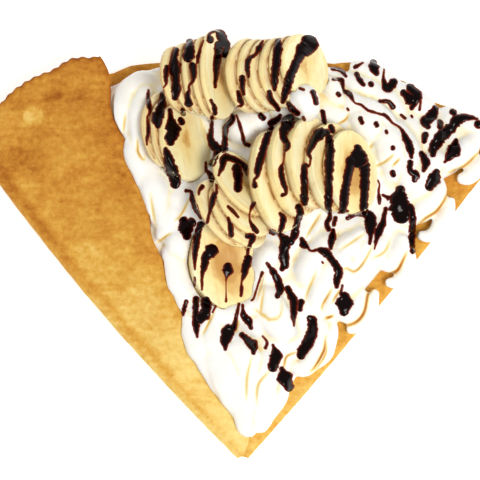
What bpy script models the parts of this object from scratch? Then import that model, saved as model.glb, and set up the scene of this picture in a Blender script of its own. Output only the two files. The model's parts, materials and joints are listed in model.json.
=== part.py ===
"""Banana chocolate crepe, opened out flat: a folded crepe wedge with whipped cream,
fans of sliced banana and thick chocolate sauce. Shown side up, +Z up.

Plan sizes are in millimetres from the wedge's tip, with +X to the right of the wedge
and +Y from the tip to the rim. Objects are made in metres.
"""
import math
from collections import namedtuple

import bmesh
import bpy
from mathutils import Matrix, Vector
from mathutils.bvhtree import BVHTree

MM = 0.001

# Where the wedge's tip lies, so that the origin is under the middle of the whole
TIP_PLACE = (3.5, -97.0)

# Clearance between pieces that touch
GAP = 0.3

# Crepe: a griddle round folded in half, so two plies make one sheet
CREPE_RADIUS = 188.0
FLAP_RADIUS = 196.5
SHEET = 2.2
TIP_SHEET = 1.5
SHEET_GAP = 0.5
EDGE_THINNING = 0.6
TIP_START = 3.5
LEFT_FOLD = -40.4
RIGHT_FOLD = 39.4
LEFT_BULGE = 5.5
RIGHT_BULGE = 2.5
FLAP_EDGE = -22.2
FLAP_RIM_EDGE = -19.6
BACK_EDGE = -33.0
ROLL_RADIUS = 3.0
FLAP_RISE = 7.0
CREPE_RINGS = (TIP_START, 6.0, 10.0, 15.0, 24.0, 38.0, 58.0, 82.0, 108.0, 136.0, 163.0, 181.0)

# Whipped cream
CREAM_START = 13.0
CREAM_RIM = 5.0
BARE_EDGE = 8.0
CREAM_THIN = 4.0
CREAM_DEPTH = 8.5
EDGE_SLOPE = 22.0
POCKET_SLOPE = 8.7
MOUND_DEPTH = 5.5
MOUND_CENTRE = (4.0, 138.0)
MOUND_REACH = (52.0, 58.0)
MOUND_SPREAD = 1.3
DIP_DEPTH = 5.0
DIP_CENTRE = (-11.0, 143.0)
DIP_REACH = (12.0, 19.0)
BED_RINGS = 15
BED_STEPS = 13
ROPE_SIDES = 7
FLAT_ANGLE = math.radians(3.0)
SLIVER = 0.05

# Banana slices
SLICE_SIDES = 16
RIM_BULGE = 1.025
CUTTER_SIDES = 10
THICKEST = 6.0

# Chocolate sauce
SAUCE_HEIGHT = 1.3
SAUCE_SINK = 0.7
SAUCE_WIDTH = 3.0
SAUCE_RIM = 1.6


def mix(a, b, t):
    return a + (b - a) * t


def smooth(t):
    t = min(1.0, max(0.0, t))
    return t * t * (3.0 - 2.0 * t)


def polar(r, angle, z):
    """A point at radius r from the tip, angle degrees clockwise from +Y, and height z."""
    a = math.radians(angle)
    return Vector((r * math.sin(a), r * math.cos(a), z))


def clear_scene():
    for obj in list(bpy.data.objects):
        bpy.data.objects.remove(obj)


def make_material(name, color, roughness):
    mat = bpy.data.materials.new(name)
    mat.use_nodes = True
    shader = mat.node_tree.nodes["Principled BSDF"]
    shader.inputs["Base Color"].default_value = (*color, 1.0)
    shader.inputs["Roughness"].default_value = roughness
    shader.inputs["Metallic"].default_value = 0.0
    return mat


def make_object(name, bm, mat=None, matrix=None):
    """Places a bmesh in millimetres on the plan and makes it an object in metres."""
    place = Matrix.Translation((*TIP_PLACE, 0.0)) @ (matrix or Matrix())
    bmesh.ops.transform(bm, matrix=Matrix.Scale(MM, 4) @ place, verts=bm.verts)
    bmesh.ops.triangulate(bm, faces=bm.faces)
    bmesh.ops.recalc_face_normals(bm, faces=bm.faces)
    mesh = bpy.data.meshes.new(name)
    bm.to_mesh(mesh)
    bm.free()
    if mat:
        mesh.materials.append(mat)
    obj = bpy.data.objects.new(name, mesh)
    bpy.context.scene.collection.objects.link(obj)
    return obj


def skin_rows(bm, rows, closed_rows=True, cap=True):
    """Joins rows of vertices into a tube or sheet, and caps its first and last row."""
    count = len(rows[0])
    last = count if closed_rows else count - 1
    for a, b in zip(rows, rows[1:]):
        for i in range(last):
            j = (i + 1) % count
            bm.faces.new((a[i], a[j], b[j], b[i]))
    if cap:
        bm.faces.new(rows[0])
        bm.faces.new(rows[-1])


# Crepe

def sheet_thickness(r):
    return mix(TIP_SHEET, SHEET, smooth((r - TIP_START) / (CREAM_START - TIP_START)))


def base_height(r):
    return 1.5 * sheet_thickness(r) + SHEET_GAP


def roll_radius(r):
    """Radius of the loose fold at the left, which is pressed flat towards the tip."""
    flat = (sheet_thickness(r) + SHEET_GAP) / 2
    return mix(flat, ROLL_RADIUS, smooth(r / 60.0))


def left_fold(r):
    """Where the left fold starts to turn: the sheet bulges out from there to its outline."""
    outline = LEFT_FOLD - LEFT_BULGE * (1.0 - r / CREPE_RADIUS)
    return outline + math.degrees((roll_radius(r) + sheet_thickness(r) / 2) / r)


def right_fold(r):
    outline = RIGHT_FOLD + RIGHT_BULGE * (1.0 - r / CREPE_RADIUS)
    return outline - math.degrees((sheet_thickness(r) + SHEET_GAP / 2) / r)


def flap_edge(r):
    """Free edge of the turned over flap, which closes right over the tip."""
    ragged = 0.8 * math.sin(r / 6.1) * math.sin(r / 17.0 + 1.0)
    edge = mix(FLAP_EDGE, FLAP_RIM_EDGE, smooth((r - 60.0) / 130.0)) + ragged
    return mix(right_fold(r) - 12.0, edge, smooth((r - 6.0) / 28.0))


def flap_height(r, angle):
    """Middle of the flap: it climbs from the rolled fold onto the cream."""
    share = (angle - left_fold(r)) / (flap_edge(r) - left_fold(r))
    rise = FLAP_RISE * smooth(r / 110.0)
    return base_height(r) + 2 * roll_radius(r) + rise * smooth(share)


def rim_radius(angle, layer):
    """Wavy outer edge of the back sheet (0), the base (1) and the flap (2)."""
    wave = 1.3 * math.sin(0.31 * angle + 2.0 * layer) + 0.8 * math.sin(0.83 * angle + layer)
    return (CREPE_RADIUS - 2.0, CREPE_RADIUS, FLAP_RADIUS)[layer] + wave


def fold_section(r):
    """Middle line of the folded sheet at radius r: back, right fold, base, roll and flap."""
    half = sheet_thickness(r) / 2
    line = []
    back_edge = mix(right_fold(r) - 18.0, BACK_EDGE, smooth((r - 6.0) / 30.0))
    steps = 12
    for i in range(steps):
        line.append((mix(back_edge, right_fold(r), i / (steps - 1)), half, 0))
    turn = (base_height(r) - half) / 2
    for k in (1, 2, 3):
        a = math.pi * k / 4
        line.append((right_fold(r) + math.degrees(turn * math.sin(a) / r),
                     half + turn * (1 - math.cos(a)), 1))
    for i in range(steps):
        line.append((mix(right_fold(r), left_fold(r), i / (steps - 1)), base_height(r), 1))
    roll = roll_radius(r)
    for k in (1, 2, 3, 4):
        a = math.pi * k / 5
        line.append((left_fold(r) - math.degrees(roll * math.sin(a) / r),
                     base_height(r) + roll * (1 - math.cos(a)), 2))
    flap_steps = 6
    for i in range(flap_steps):
        angle = mix(left_fold(r), flap_edge(r), i / (flap_steps - 1))
        line.append((angle, flap_height(r, angle), 2))
    return line


def thick_section(r, line, half):
    """Offsets a section's middle line to both faces of the sheet."""
    flat = [(math.radians(angle) * r, z) for angle, z, _ in line]
    sides = []
    for i, (x, z) in enumerate(flat):
        before = flat[max(0, i - 1)]
        after = flat[min(len(flat) - 1, i + 1)]
        along = Vector((after[0] - before[0], after[1] - before[1])).normalized()
        normal = Vector((-along.y, along.x)) * half
        sides.append(((x + normal.x, z + normal.y), (x - normal.x, z - normal.y)))
    return sides


def make_crepe(mat):
    bm = bmesh.new()
    rows = []
    for ring in (*CREPE_RINGS, None):
        r = ring or CREPE_RADIUS
        line = fold_section(r)
        thin = 1.0 if ring else EDGE_THINNING
        row = []
        for (_, _, layer), pair in zip(line, thick_section(r, line, thin * sheet_thickness(r) / 2)):
            ends = []
            for x, z in pair:
                angle = math.degrees(x / r)
                out = ring or rim_radius(angle, layer)
                ends.append(bm.verts.new(polar(out, angle, z)))
            row.append(ends)
        # Round the sheet: out along one face and back along the other
        rows.append([ends[0] for ends in row] + [ends[1] for ends in reversed(row)])
    skin_rows(bm, rows, cap=False)
    for row in (rows[0], rows[-1]):
        count = len(row)
        for i in range(count // 2 - 1):
            bm.faces.new((row[i], row[i + 1], row[count - 2 - i], row[count - 1 - i]))
    return make_object("crepe", bm, mat)


def make_flap_cutter():
    """The flap, thicker by the clearance, to keep the cream clear of it."""
    bm = bmesh.new()
    rows = []
    for r in (CREAM_START - 6.0, *CREPE_RINGS[3:], FLAP_RADIUS + 6.0):
        line = []
        steps = 9
        start = left_fold(r) - math.degrees(2 * ROLL_RADIUS / r)
        end = flap_edge(r) + math.degrees(GAP / r)
        for i in range(steps):
            angle = mix(start, end, i / (steps - 1))
            line.append((angle, flap_height(r, max(angle, left_fold(r))), 2))
        pairs = thick_section(r, line, SHEET / 2 + GAP)
        ring = [pair[0] for pair in pairs] + [pair[1] for pair in reversed(pairs)]
        rows.append([bm.verts.new(polar(r, math.degrees(x / r), z)) for x, z in ring])
    skin_rows(bm, rows)
    return make_object("cut_flap", bm)


# Banana

Slice = namedtuple("Slice", "name centre thickness length width lean facing turn stripes")
Fan = namedtuple("Fan", "name lean facing first thickness steps length width turn front")

# A fan is a row of bias cut slices that lean on each other like fallen dominoes.
# lean: how far the faces tip up from lying flat. facing: where the faces look, from +X.
# first: middle of the first slice's face. steps: along facing, across it and up to the
# next face. length, width and turn run from the first slice to the last.
# front: where sauce stripes cross the last slice, as shares of its half width.
FANS = (
    Fan("left", 42, 7, (-34.0, 148.7, 20.8), 3.7,
        ((3.9, 3.6, 1.8), (3.9, 3.8, 1.8)),
        (17.0, 17.8), (13.0, 13.4), (-6, 4), (0.45,)),
    Fan("upper", 56, 5, (-27.0, 168.6, 35.2), 4.0,
        ((4.6, -0.2, -0.4), (4.4, 0.2, -0.4), (4.2, 0.2, -0.4), (4.0, -1.0, -0.4)),
        (14.8, 20.0), (12.0, 13.5), (8, -4), (0.55, -0.1)),
    Fan("top", 45, 4, (3.9, 170.6, 32.6), 3.5,
        ((4.9, 0.2, 0.0), (4.9, -0.2, 0.0), (4.9, -0.6, 0.0), (4.8, -1.0, 0.0), (4.9, -1.2, 0.0)),
        (16.8, 14.8), (14.0, 14.4), (-4, -8), (0.75, 0.1)),
    Fan("right", 41, 3, (16.4, 123.4, 29.6), 5.0,
        ((8.1, -5.4, 0.0), (8.1, -2.0, 0.0), (9.4, 2.4, 0.0), (7.3, 2.6, 0.0)),
        (22.5, 18.8), (14.6, 14.6), (9, -2), (0.75, 0.1, -0.5)),
    Fan("middle", 43, 33, (-7.6, 109.4, 29.0), 3.2,
        ((4.6, 4.0, 0.0), (4.6, -3.0, 0.0), (4.8, -8.0, 0.0)),
        (17.0, 17.0), (12.5, 12.5), (0, 10), (0.5, -0.1)),
    Fan("lower", 16, -12, (-9.8, 88.2, 13.2), 4.0,
        ((1.6, 0.0, 4.0), (1.6, 0.0, 4.0)),
        (19.0, 20.0), (15.0, 16.5), (22, 22), (0.55, -0.25)),
)


def fan_slices(fan):
    lean, facing = math.radians(fan.lean), math.radians(fan.facing)
    centre = Vector(fan.first)
    thickness = fan.thickness
    count = len(fan.steps) + 1
    for k in range(count):
        if k:
            along, across, up = fan.steps[k - 1]
            centre = centre + Vector((
                along * math.cos(facing) + across * math.sin(facing),
                along * math.sin(facing) - across * math.cos(facing), up))
            room = along * math.sin(lean) + up * math.cos(lean) - GAP
            thickness = min(THICKEST, room)
        share = k / (count - 1)
        # Only the last slice's face is bare: sauce on the others runs along their upper rim
        stripes = fan.front if k == count - 1 else ()
        yield Slice(f"banana_{fan.name}_{k + 1}", centre.copy(), thickness,
                    mix(*fan.length, share), mix(*fan.width, share), fan.lean, fan.facing,
                    mix(*fan.turn, share), stripes)


def slice_matrix(s):
    """Local X runs down the slope of the face, local Z out of the face."""
    return (Matrix.Translation(s.centre)
            @ Matrix.Rotation(math.radians(s.facing), 4, "Z")
            @ Matrix.Rotation(math.radians(s.lean), 4, "Y")
            @ Matrix.Rotation(math.radians(s.turn), 4, "Z"))


def slice_outline(s, angle):
    """Slightly uneven oval: half a width across the slope, half a length along it."""
    seed = s.centre.x + 2 * s.centre.y
    uneven = 1.0 + 0.014 * math.sin(2 * angle + seed) + 0.010 * math.sin(5 * angle + 2 * seed)
    return Vector((s.width * uneven * math.cos(angle), s.length * uneven * math.sin(angle), 0.0))


def slab(bm, s):
    rows = []
    for z, bulge in ((-s.thickness, 0.97), (-s.thickness / 2, RIM_BULGE), (0.0, 0.985)):
        rows.append([bm.verts.new(slice_outline(s, 2 * math.pi * i / SLICE_SIDES) * bulge
                                  + Vector((0.0, 0.0, z))) for i in range(SLICE_SIDES)])
    skin_rows(bm, rows)


def slab_clearance(bm, s):
    """A plain slab with fewer sides that holds the slice and the gap round it."""
    rows = []
    around = RIM_BULGE / math.cos(math.pi / CUTTER_SIDES)
    for z in (-s.thickness - GAP, GAP):
        row = []
        for i in range(CUTTER_SIDES):
            point = slice_outline(s, 2 * math.pi * i / CUTTER_SIDES) * around
            point += point.normalized() * GAP
            row.append(bm.verts.new((point.x, point.y, z)))
        rows.append(row)
    skin_rows(bm, rows)


def face_stripe(bm, s, share, grow):
    """Sauce that runs along the bare face, at a share of the half width up its slope."""
    rows = []
    steps = 6
    for i in range(steps + 1):
        t = i / steps
        y = mix(-0.62, 0.52, t) * s.length + grow * (2.0 * t - 1.0)
        bow = math.sqrt(1.0 - (y / s.length) ** 2)
        x = -s.width * (share * bow if share > 0.3 else share)
        swell = 0.25 + 0.75 * math.sqrt(math.sin(math.pi * mix(0.06, 0.94, t)))
        half = SAUCE_WIDTH / 2 * swell * (1.0 + 0.2 * math.sin(9.0 * t + s.centre.x)) + grow
        top = SAUCE_HEIGHT * swell + grow
        rows.append([bm.verts.new((x + dx * half, y, z)) for dx, z in
                     ((-1.0, -SAUCE_SINK), (-0.8, 0.55 * top), (0.0, top),
                      (0.8, 0.55 * top), (1.0, -SAUCE_SINK))])
    skin_rows(bm, rows)


def rim_stripe(bm, s, grow):
    """Sauce that runs along the upper rim, in front of the slice behind."""
    rows = []
    steps = 6
    for i in range(steps + 1):
        t = i / steps
        around = math.radians(mix(-46.0, 40.0, t) + 6.0 * math.sin(s.centre.x))
        around += grow * (2.0 * t - 1.0) / s.width
        swell = math.sqrt(math.sin(math.pi * mix(0.08, 0.92, t)))
        radius = min(SAUCE_RIM, s.thickness / 2 - 0.1) * swell + grow
        middle = slice_outline(s, math.pi + around) * 1.01
        out = middle.normalized()
        rows.append([bm.verts.new(middle + radius * (math.cos(a) * out
                                                     + math.sin(a) * Vector((0.0, 0.0, 1.0)))
                                  - Vector((0.0, 0.0, s.thickness / 2)))
                     for a in (2 * math.pi * n / 6 for n in range(6))])
    skin_rows(bm, rows)


def slice_pieces(s, cutter=False):
    """The slab and its stripes of sauce as closed objects, or the room that they need."""
    grow = GAP if cutter else 0.0
    shapes = [lambda bm: slab_clearance(bm, s) if cutter else slab(bm, s)]
    shapes += [lambda bm, share=share: face_stripe(bm, s, share, grow) for share in s.stripes]
    if not s.stripes:
        shapes.append(lambda bm: rim_stripe(bm, s, grow))
    pieces = []
    for shape in shapes:
        bm = bmesh.new()
        shape(bm)
        pieces.append(make_object(s.name, bm, matrix=slice_matrix(s)))
    return pieces


def combine(target, others, operation, solver="EXACT"):
    """Joins or cuts the target by all the others in one Boolean, then removes them."""
    tools = bpy.data.collections.new("tools")
    bpy.context.scene.collection.children.link(tools)
    for obj in others:
        bpy.context.scene.collection.objects.unlink(obj)
        tools.objects.link(obj)
    cut = target.modifiers.new("combine", "BOOLEAN")
    cut.operation = operation
    cut.operand_type = "COLLECTION"
    cut.collection = tools
    cut.solver = solver
    depsgraph = bpy.context.evaluated_depsgraph_get()
    mesh = bpy.data.meshes.new_from_object(target.evaluated_get(depsgraph))
    target.modifiers.clear()
    target.data = mesh
    for obj in list(others):
        bpy.data.objects.remove(obj)
    bpy.data.collections.remove(tools)
    return target


def make_slice(s, mat):
    body, *sauce = slice_pieces(s)
    combine(body, sauce, "UNION")
    body.data.materials.clear()
    body.data.materials.append(mat)
    return body


# Whipped cream

Rope = namedtuple("Rope", "points thickness")

# Ropes of piped cream: plan points with the height of the rope's middle, and its radius
ROPES = (
    Rope(((-55, 178, 16), (-49, 168, 18), (-46, 154, 17), (-41, 140, 15)), 8.0),
    Rope(((-44, 150, 15), (-37, 131, 15), (-33, 112, 14), (-29, 92, 13), (-25, 72, 12)), 6.5),
    Rope(((-33, 128, 17), (-26, 112, 17), (-22, 96, 16), (-22, 78, 14)), 6.0),
    Rope(((-22, 72, 13), (-17, 58, 13), (-12, 44, 12), (-7, 30, 11), (-1, 19, 9)), 6.5),
    Rope(((-10, 70, 14), (-6, 55, 14), (-1, 40, 14), (3, 27, 12), (4, 17, 9)), 7.0),
    Rope(((10, 66, 15), (9, 52, 16), (11, 38, 15), (9, 25, 12), (6, 16, 9)), 7.5),
    Rope(((18, 60, 14), (20, 47, 14), (19, 36, 12), (13, 24, 10)), 6.0),
    Rope(((14, 84, 17), (24, 76, 19), (34, 74, 18), (40, 82, 17)), 9.0),
    Rope(((38, 96, 18), (48, 94, 20), (58, 98, 19), (64, 108, 17)), 8.0),
    Rope(((58, 130, 17), (66, 122, 19), (72, 114, 18), (74, 104, 15)), 7.0),
    Rope(((42, 176, 15), (53, 172, 17), (64, 167, 17), (76, 160, 17), (88, 152, 16)), 6.0),
    Rope(((38, 166, 18), (49, 160, 20), (60, 152, 20), (71, 143, 19), (80, 134, 17)), 6.5),
    Rope(((44, 152, 20), (54, 144, 21), (63, 135, 21), (69, 126, 19)), 6.0),
    Rope(((80, 150, 17), (90, 147, 18), (99, 146, 17)), 6.0),
    Rope(((-4, 153, 20), (0, 146, 20), (3, 137, 19)), 6.0),
    Rope(((24, 157, 27), (29, 158.5, 30), (35, 157, 27)), 8.0),
    Rope(((36, 163, 22), (42, 166, 22), (48, 166, 19)), 6.5),
)

Shell = namedtuple("Shell", "centre heading reach folds top")

# Piped shells down the right side: nested folds that open towards the fold of the crepe
SHELLS = (
    Shell((23, 62), -42, 17.0, 3, 15.0),
    Shell((40, 86), -42, 17.5, 3, 16.0),
    Shell((60, 108), -40, 16.0, 3, 16.0),
    Shell((77, 125), -38, 16.5, 3, 16.0),
    Shell((93, 143), -38, 14.0, 3, 15.5),
)
FOLD_THICKNESS = 4.8
FOLD_DROP = 3.1

Drop = namedtuple("Drop", "place length width heading")

# Pools and drips of sauce on the cream: plan place, half length, half width, heading
DROPS = (
    Drop((69.0, 113.5), 6.0, 5.0, -60),
    Drop((46.0, 70.5), 5.0, 4.0, -70),
    Drop((26.5, 53.5), 8.5, 2.6, -105),
    Drop((14.0, 46.5), 5.2, 3.6, -80),
    Drop((19.0, 36.5), 5.0, 3.6, -60),
    Drop((3.5, 52.5), 6.5, 2.2, -55),
    Drop((-7.0, 58.0), 8.0, 2.6, -105),
    Drop((-18.5, 65.0), 9.0, 3.6, -100),
    Drop((-26.5, 104.5), 5.0, 4.2, -40),
    Drop((-27.5, 126.5), 4.0, 2.4, -90),
    Drop((19.5, 81.0), 12.0, 2.8, -62),
    Drop((41.0, 88.5), 9.0, 2.4, -70),
    Drop((54.5, 98.0), 9.0, 2.4, -95),
    Drop((49.5, 176.0), 3.4, 2.4, 40),
    Drop((54.0, 170.0), 4.0, 2.0, -65),
    Drop((65.5, 167.5), 4.4, 4.0, -30),
    Drop((76.5, 162.0), 6.0, 4.4, -60),
    Drop((85.0, 152.5), 4.8, 4.0, 40),
    Drop((95.0, 148.0), 8.0, 3.4, 25),
    Drop((92.0, 140.0), 4.0, 3.6, 30),
    Drop((84.5, 127.0), 4.4, 3.8, 30),
    Drop((75.5, 140.0), 9.0, 2.8, -58),
    Drop((31.0, 159.5), 4.0, 1.8, -75),
    Drop((-5.0, 147.0), 8.0, 2.0, -75),
)


def cream_floor():
    return base_height(CREPE_RADIUS) + SHEET / 2 + GAP


def bed_height(r, angle):
    """Top of the spread cream: under the flap it follows the flap, elsewhere it is a mound."""
    place = polar(r, angle, 0.0)
    edge = min(r * math.radians(right_fold(r) - angle), CREPE_RADIUS - CREAM_RIM - r, r - CREAM_START)
    depth = mix(CREAM_THIN, CREAM_DEPTH, smooth(edge / EDGE_SLOPE))
    across = (place.x - MOUND_CENTRE[0]) / MOUND_REACH[0]
    along = (place.y - MOUND_CENTRE[1]) / MOUND_REACH[1]
    depth += MOUND_DEPTH * smooth(MOUND_SPREAD - math.hypot(across, along))
    # Low in front of the left slices, whose faces stay bare
    across = (place.x - DIP_CENTRE[0]) / DIP_REACH[0]
    along = (place.y - DIP_CENTRE[1]) / DIP_REACH[1]
    depth -= DIP_DEPTH * math.exp(-across ** 2 - along ** 2)
    open_top = cream_floor() + depth
    pocket = flap_height(r, min(angle, flap_edge(r))) - SHEET / 2 - 1.2 * GAP
    out_of_pocket = math.radians(angle - flap_edge(r)) * r
    return mix(min(pocket, open_top), open_top, smooth(out_of_pocket / POCKET_SLOPE))


def border(rows):
    """The vertices once round the edge of a grid."""
    return (rows[0] + [row[-1] for row in rows[1:]] + rows[-1][-2::-1]
            + [row[0] for row in rows[-2:0:-1]])


def make_bed():
    bm = bmesh.new()
    tops, bottoms = [], []
    for j in range(BED_RINGS):
        r = mix(CREAM_START, CREPE_RADIUS - CREAM_RIM, (j / (BED_RINGS - 1)) ** 0.9)
        pocket_start = left_fold(r) + math.degrees((ROLL_RADIUS + 2.0) / r)
        start = mix(flap_edge(r) - 2.0, pocket_start, smooth((r - 22.0) / 30.0))
        end = right_fold(r) - math.degrees(mix(2.0, BARE_EDGE, smooth((r - 30.0) / 50.0)) / r)
        angles = [mix(start, end, i / (BED_STEPS - 1)) for i in range(BED_STEPS)]
        tops.append([bm.verts.new(polar(r, a, bed_height(r, a))) for a in angles])
        bottoms.append([bm.verts.new(polar(r, a, cream_floor())) for a in angles])
    skin_rows(bm, tops, closed_rows=False, cap=False)
    rim_top, rim_low = border(tops), border(bottoms)
    for i in range(len(rim_top)):
        j = (i + 1) % len(rim_top)
        bm.faces.new((rim_top[i], rim_top[j], rim_low[j], rim_low[i]))
    bm.faces.new(rim_low)
    loose = [v for v in bm.verts if not v.link_faces]
    bmesh.ops.delete(bm, geom=loose, context="VERTS")
    return make_object("whipped_cream", bm)


def curve_points(points, count):
    """Points spread along a smooth curve through the given ones."""
    ends = [2 * points[0] - points[1], *points, 2 * points[-1] - points[-2]]
    spans = len(points) - 1
    for i in range(count):
        t = spans * i / (count - 1)
        k = min(spans - 1, int(t))
        t -= k
        a, b, c, d = ends[k:k + 4]
        yield 0.5 * (2 * b + (c - a) * t + (2 * a - 5 * b + 4 * c - d) * t * t
                     + (3 * b - a - 3 * c + d) * t * t * t)


def rope_object(points, thickness, rings, name="rope"):
    """A rope of cream with round tapered ends."""
    bm = bmesh.new()
    path = list(curve_points([Vector(p) for p in points], rings))
    rows = []
    for i, centre in enumerate(path):
        along = (path[min(rings - 1, i + 1)] - path[max(0, i - 1)]).normalized()
        side = along.cross(Vector((0, 0, 1))).normalized()
        up = side.cross(along)
        swell = math.sin(math.pi * mix(0.07, 0.93, i / (rings - 1))) ** 0.6
        radius = thickness * swell
        rows.append([bm.verts.new(centre + radius * (math.cos(a) * side + math.sin(a) * up))
                     for a in (2 * math.pi * (n + 0.5) / ROPE_SIDES for n in range(ROPE_SIDES))])
    skin_rows(bm, rows)
    return make_object(name, bm)


def shell_ropes(shell):
    """Nested folds of a piped shell: each wider one lies lower and further out."""
    for k in range(shell.folds):
        radius = shell.reach * (k + 0.45) / shell.folds
        z = shell.top + 1.5 - FOLD_DROP * k
        points = []
        for step in range(5):
            a = math.radians(shell.heading + mix(-95, 95, step / 4))
            points.append((shell.centre[0] + radius * math.cos(a),
                           shell.centre[1] + radius * math.sin(a),
                           z + 1.2 * math.cos(math.pi * (step - 2) / 4)))
        yield rope_object(points, FOLD_THICKNESS, 7)


def surface_height(tree, place):
    """Height of the top surface under a plan place, in millimetres."""
    start = Vector(((place[0] + TIP_PLACE[0]) * MM, (place[1] + TIP_PLACE[1]) * MM, 1.0))
    hit = tree.ray_cast(start, Vector((0, 0, -1)))[0]
    return hit.z / MM


def drop_object(drop, z):
    """A pool of sauce: a low oval dome sunk into the cream, drawn out to a tail."""
    bm = bmesh.new()
    bmesh.ops.create_uvsphere(bm, u_segments=8, v_segments=4, radius=1.0)
    for v in bm.verts:
        tail = mix(0.62, 1.1, smooth((v.co.x + 1.0) / 1.5))
        v.co = Vector((v.co.x * drop.length, v.co.y * drop.width * tail, v.co.z * 2.2))
    matrix = Matrix.Translation((*drop.place, z)) @ Matrix.Rotation(math.radians(drop.heading), 4, "Z")
    return make_object("drop", bm, matrix=matrix)


def keep_largest(obj, simplify):
    """Drops loose scraps and keeps the largest body. It can melt nearly flat faces first."""
    bm = bmesh.new()
    bm.from_mesh(obj.data)
    if simplify:
        bmesh.ops.dissolve_degenerate(bm, dist=SLIVER * MM, edges=bm.edges)
        bmesh.ops.dissolve_limit(bm, angle_limit=FLAT_ANGLE, verts=bm.verts, edges=bm.edges)
    bmesh.ops.triangulate(bm, faces=bm.faces)
    left = set(bm.verts)
    bodies = []
    while left:
        body = {left.pop()}
        edge = list(body)
        while edge:
            near = {e.other_vert(v) for v in edge for e in v.link_edges} & left
            left -= near
            body |= near
            edge = list(near)
        bodies.append(body)
    bodies.sort(key=len)
    for body in bodies[:-1]:
        bmesh.ops.delete(bm, geom=list(body), context="VERTS")
    bm.to_mesh(obj.data)
    bm.free()


def make_cream(slices, mat):
    cream = make_bed()
    ropes = [rope_object(rope.points, rope.thickness, 2 * len(rope.points)) for rope in ROPES]
    for shell in SHELLS:
        ropes.extend(shell_ropes(shell))
    combine(cream, ropes, "UNION", "MANIFOLD")
    keep_largest(cream, True)
    bm = bmesh.new()
    bm.from_mesh(cream.data)
    tree = BVHTree.FromBMesh(bm)
    bm.free()
    drops = [drop_object(drop, surface_height(tree, drop.place)) for drop in DROPS]
    combine(cream, drops, "UNION", "MANIFOLD")
    cutters = [make_flap_cutter()]
    for s in slices:
        cutters.extend(slice_pieces(s, cutter=True))
    combine(cream, cutters, "DIFFERENCE", "MANIFOLD")
    keep_largest(cream, False)
    cream.data.materials.clear()
    cream.data.materials.append(mat)
    return cream


def main():
    clear_scene()
    crepe_mat = make_material("crepe", (0.55, 0.26, 0.06), 0.6)
    banana_mat = make_material("banana", (0.83, 0.64, 0.27), 0.45)
    cream_mat = make_material("cream", (0.95, 0.93, 0.86), 0.4)
    make_crepe(crepe_mat)
    slices = [s for fan in FANS for s in fan_slices(fan)]
    for s in slices:
        make_slice(s, banana_mat)
    make_cream(slices, cream_mat)


main()
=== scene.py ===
# %% [markdown]
# A banana chocolate crepe, opened out flat and seen from almost straight above.
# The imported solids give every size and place. This script makes the food look like
# food: browned batter, cut banana, piped cream and glossy chocolate sauce.

# %% Load the frame
import json
import math
from collections import namedtuple

import bmesh
import bpy
from mathutils import Matrix, Vector, noise
from mathutils.bvhtree import BVHTree
from mathutils.kdtree import KDTree

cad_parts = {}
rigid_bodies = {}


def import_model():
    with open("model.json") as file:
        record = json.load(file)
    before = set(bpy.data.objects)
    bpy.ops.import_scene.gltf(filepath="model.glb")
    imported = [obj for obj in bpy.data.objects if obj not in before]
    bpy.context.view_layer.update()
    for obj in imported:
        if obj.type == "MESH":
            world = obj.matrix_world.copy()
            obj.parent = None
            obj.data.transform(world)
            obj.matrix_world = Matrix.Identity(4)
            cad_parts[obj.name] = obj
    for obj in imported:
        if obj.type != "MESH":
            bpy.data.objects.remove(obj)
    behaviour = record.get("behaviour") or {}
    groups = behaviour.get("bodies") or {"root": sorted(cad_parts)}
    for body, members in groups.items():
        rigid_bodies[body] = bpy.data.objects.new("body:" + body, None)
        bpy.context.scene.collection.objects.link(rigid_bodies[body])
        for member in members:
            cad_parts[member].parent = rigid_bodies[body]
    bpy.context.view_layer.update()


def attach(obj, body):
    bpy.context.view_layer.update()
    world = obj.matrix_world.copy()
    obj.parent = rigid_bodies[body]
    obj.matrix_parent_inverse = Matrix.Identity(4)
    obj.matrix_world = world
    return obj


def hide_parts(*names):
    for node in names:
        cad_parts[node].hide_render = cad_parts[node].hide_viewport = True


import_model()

# %% [markdown]
# Lengths are written in millimetres from the tip of the wedge, +Y to the rim, as a cook
# would measure them. One function turns them into metres in the frame's own place.
# Places on the picture are in its pixels, and a second function turns those into lengths.

# %% Measures
MM = 0.001
TIP_PLACE = Vector((3.5, -97.0, 0.0))
PIXEL = 0.45
TIP_PIXEL = (243.0, 461.0)
VIEW_HEIGHT = math.radians(80.0)
TO_CAMERA = Vector((0.0, -math.cos(VIEW_HEIGHT), math.sin(VIEW_HEIGHT)))
# Seen aslant, lengths towards the rim look this much shorter
SHORTENING = 0.985


def place(point):
    """Millimetres on the plan to metres in the frame."""
    return (Vector(point) + TIP_PLACE) * MM


def from_picture(x, y, z=0.0):
    """The plan point at height z that the camera sees at pixel x, y."""
    return Vector(((x - TIP_PIXEL[0]) * PIXEL,
                   (TIP_PIXEL[1] - y) * PIXEL / SHORTENING - z * math.cos(VIEW_HEIGHT), z))


def mix(a, b, t):
    return a + (b - a) * t


def smooth(t):
    t = min(1.0, max(0.0, t))
    return t * t * (3.0 - 2.0 * t)


def polar(r, angle, z):
    """A point at radius r from the tip, angle degrees clockwise from +Y."""
    a = math.radians(angle)
    return Vector((r * math.sin(a), r * math.cos(a), z))


# %% [markdown]
# Most pieces start as a bmesh in millimetres. One helper places it, checks that its faces
# point outwards and makes the object. Another bakes the modifiers into a plain mesh,
# because the export wants finished meshes that sit at the origin.

# %% Mesh helpers
def new_piece(name, bm, material=None):
    for v in bm.verts:
        v.co = place(v.co)
    bmesh.ops.recalc_face_normals(bm, faces=bm.faces)
    for face in bm.faces:
        face.smooth = True
    mesh = bpy.data.meshes.new(name)
    bm.to_mesh(mesh)
    bm.free()
    if material:
        mesh.materials.append(material)
    piece = bpy.data.objects.new(name, mesh)
    bpy.context.scene.collection.objects.link(piece)
    return piece


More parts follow.
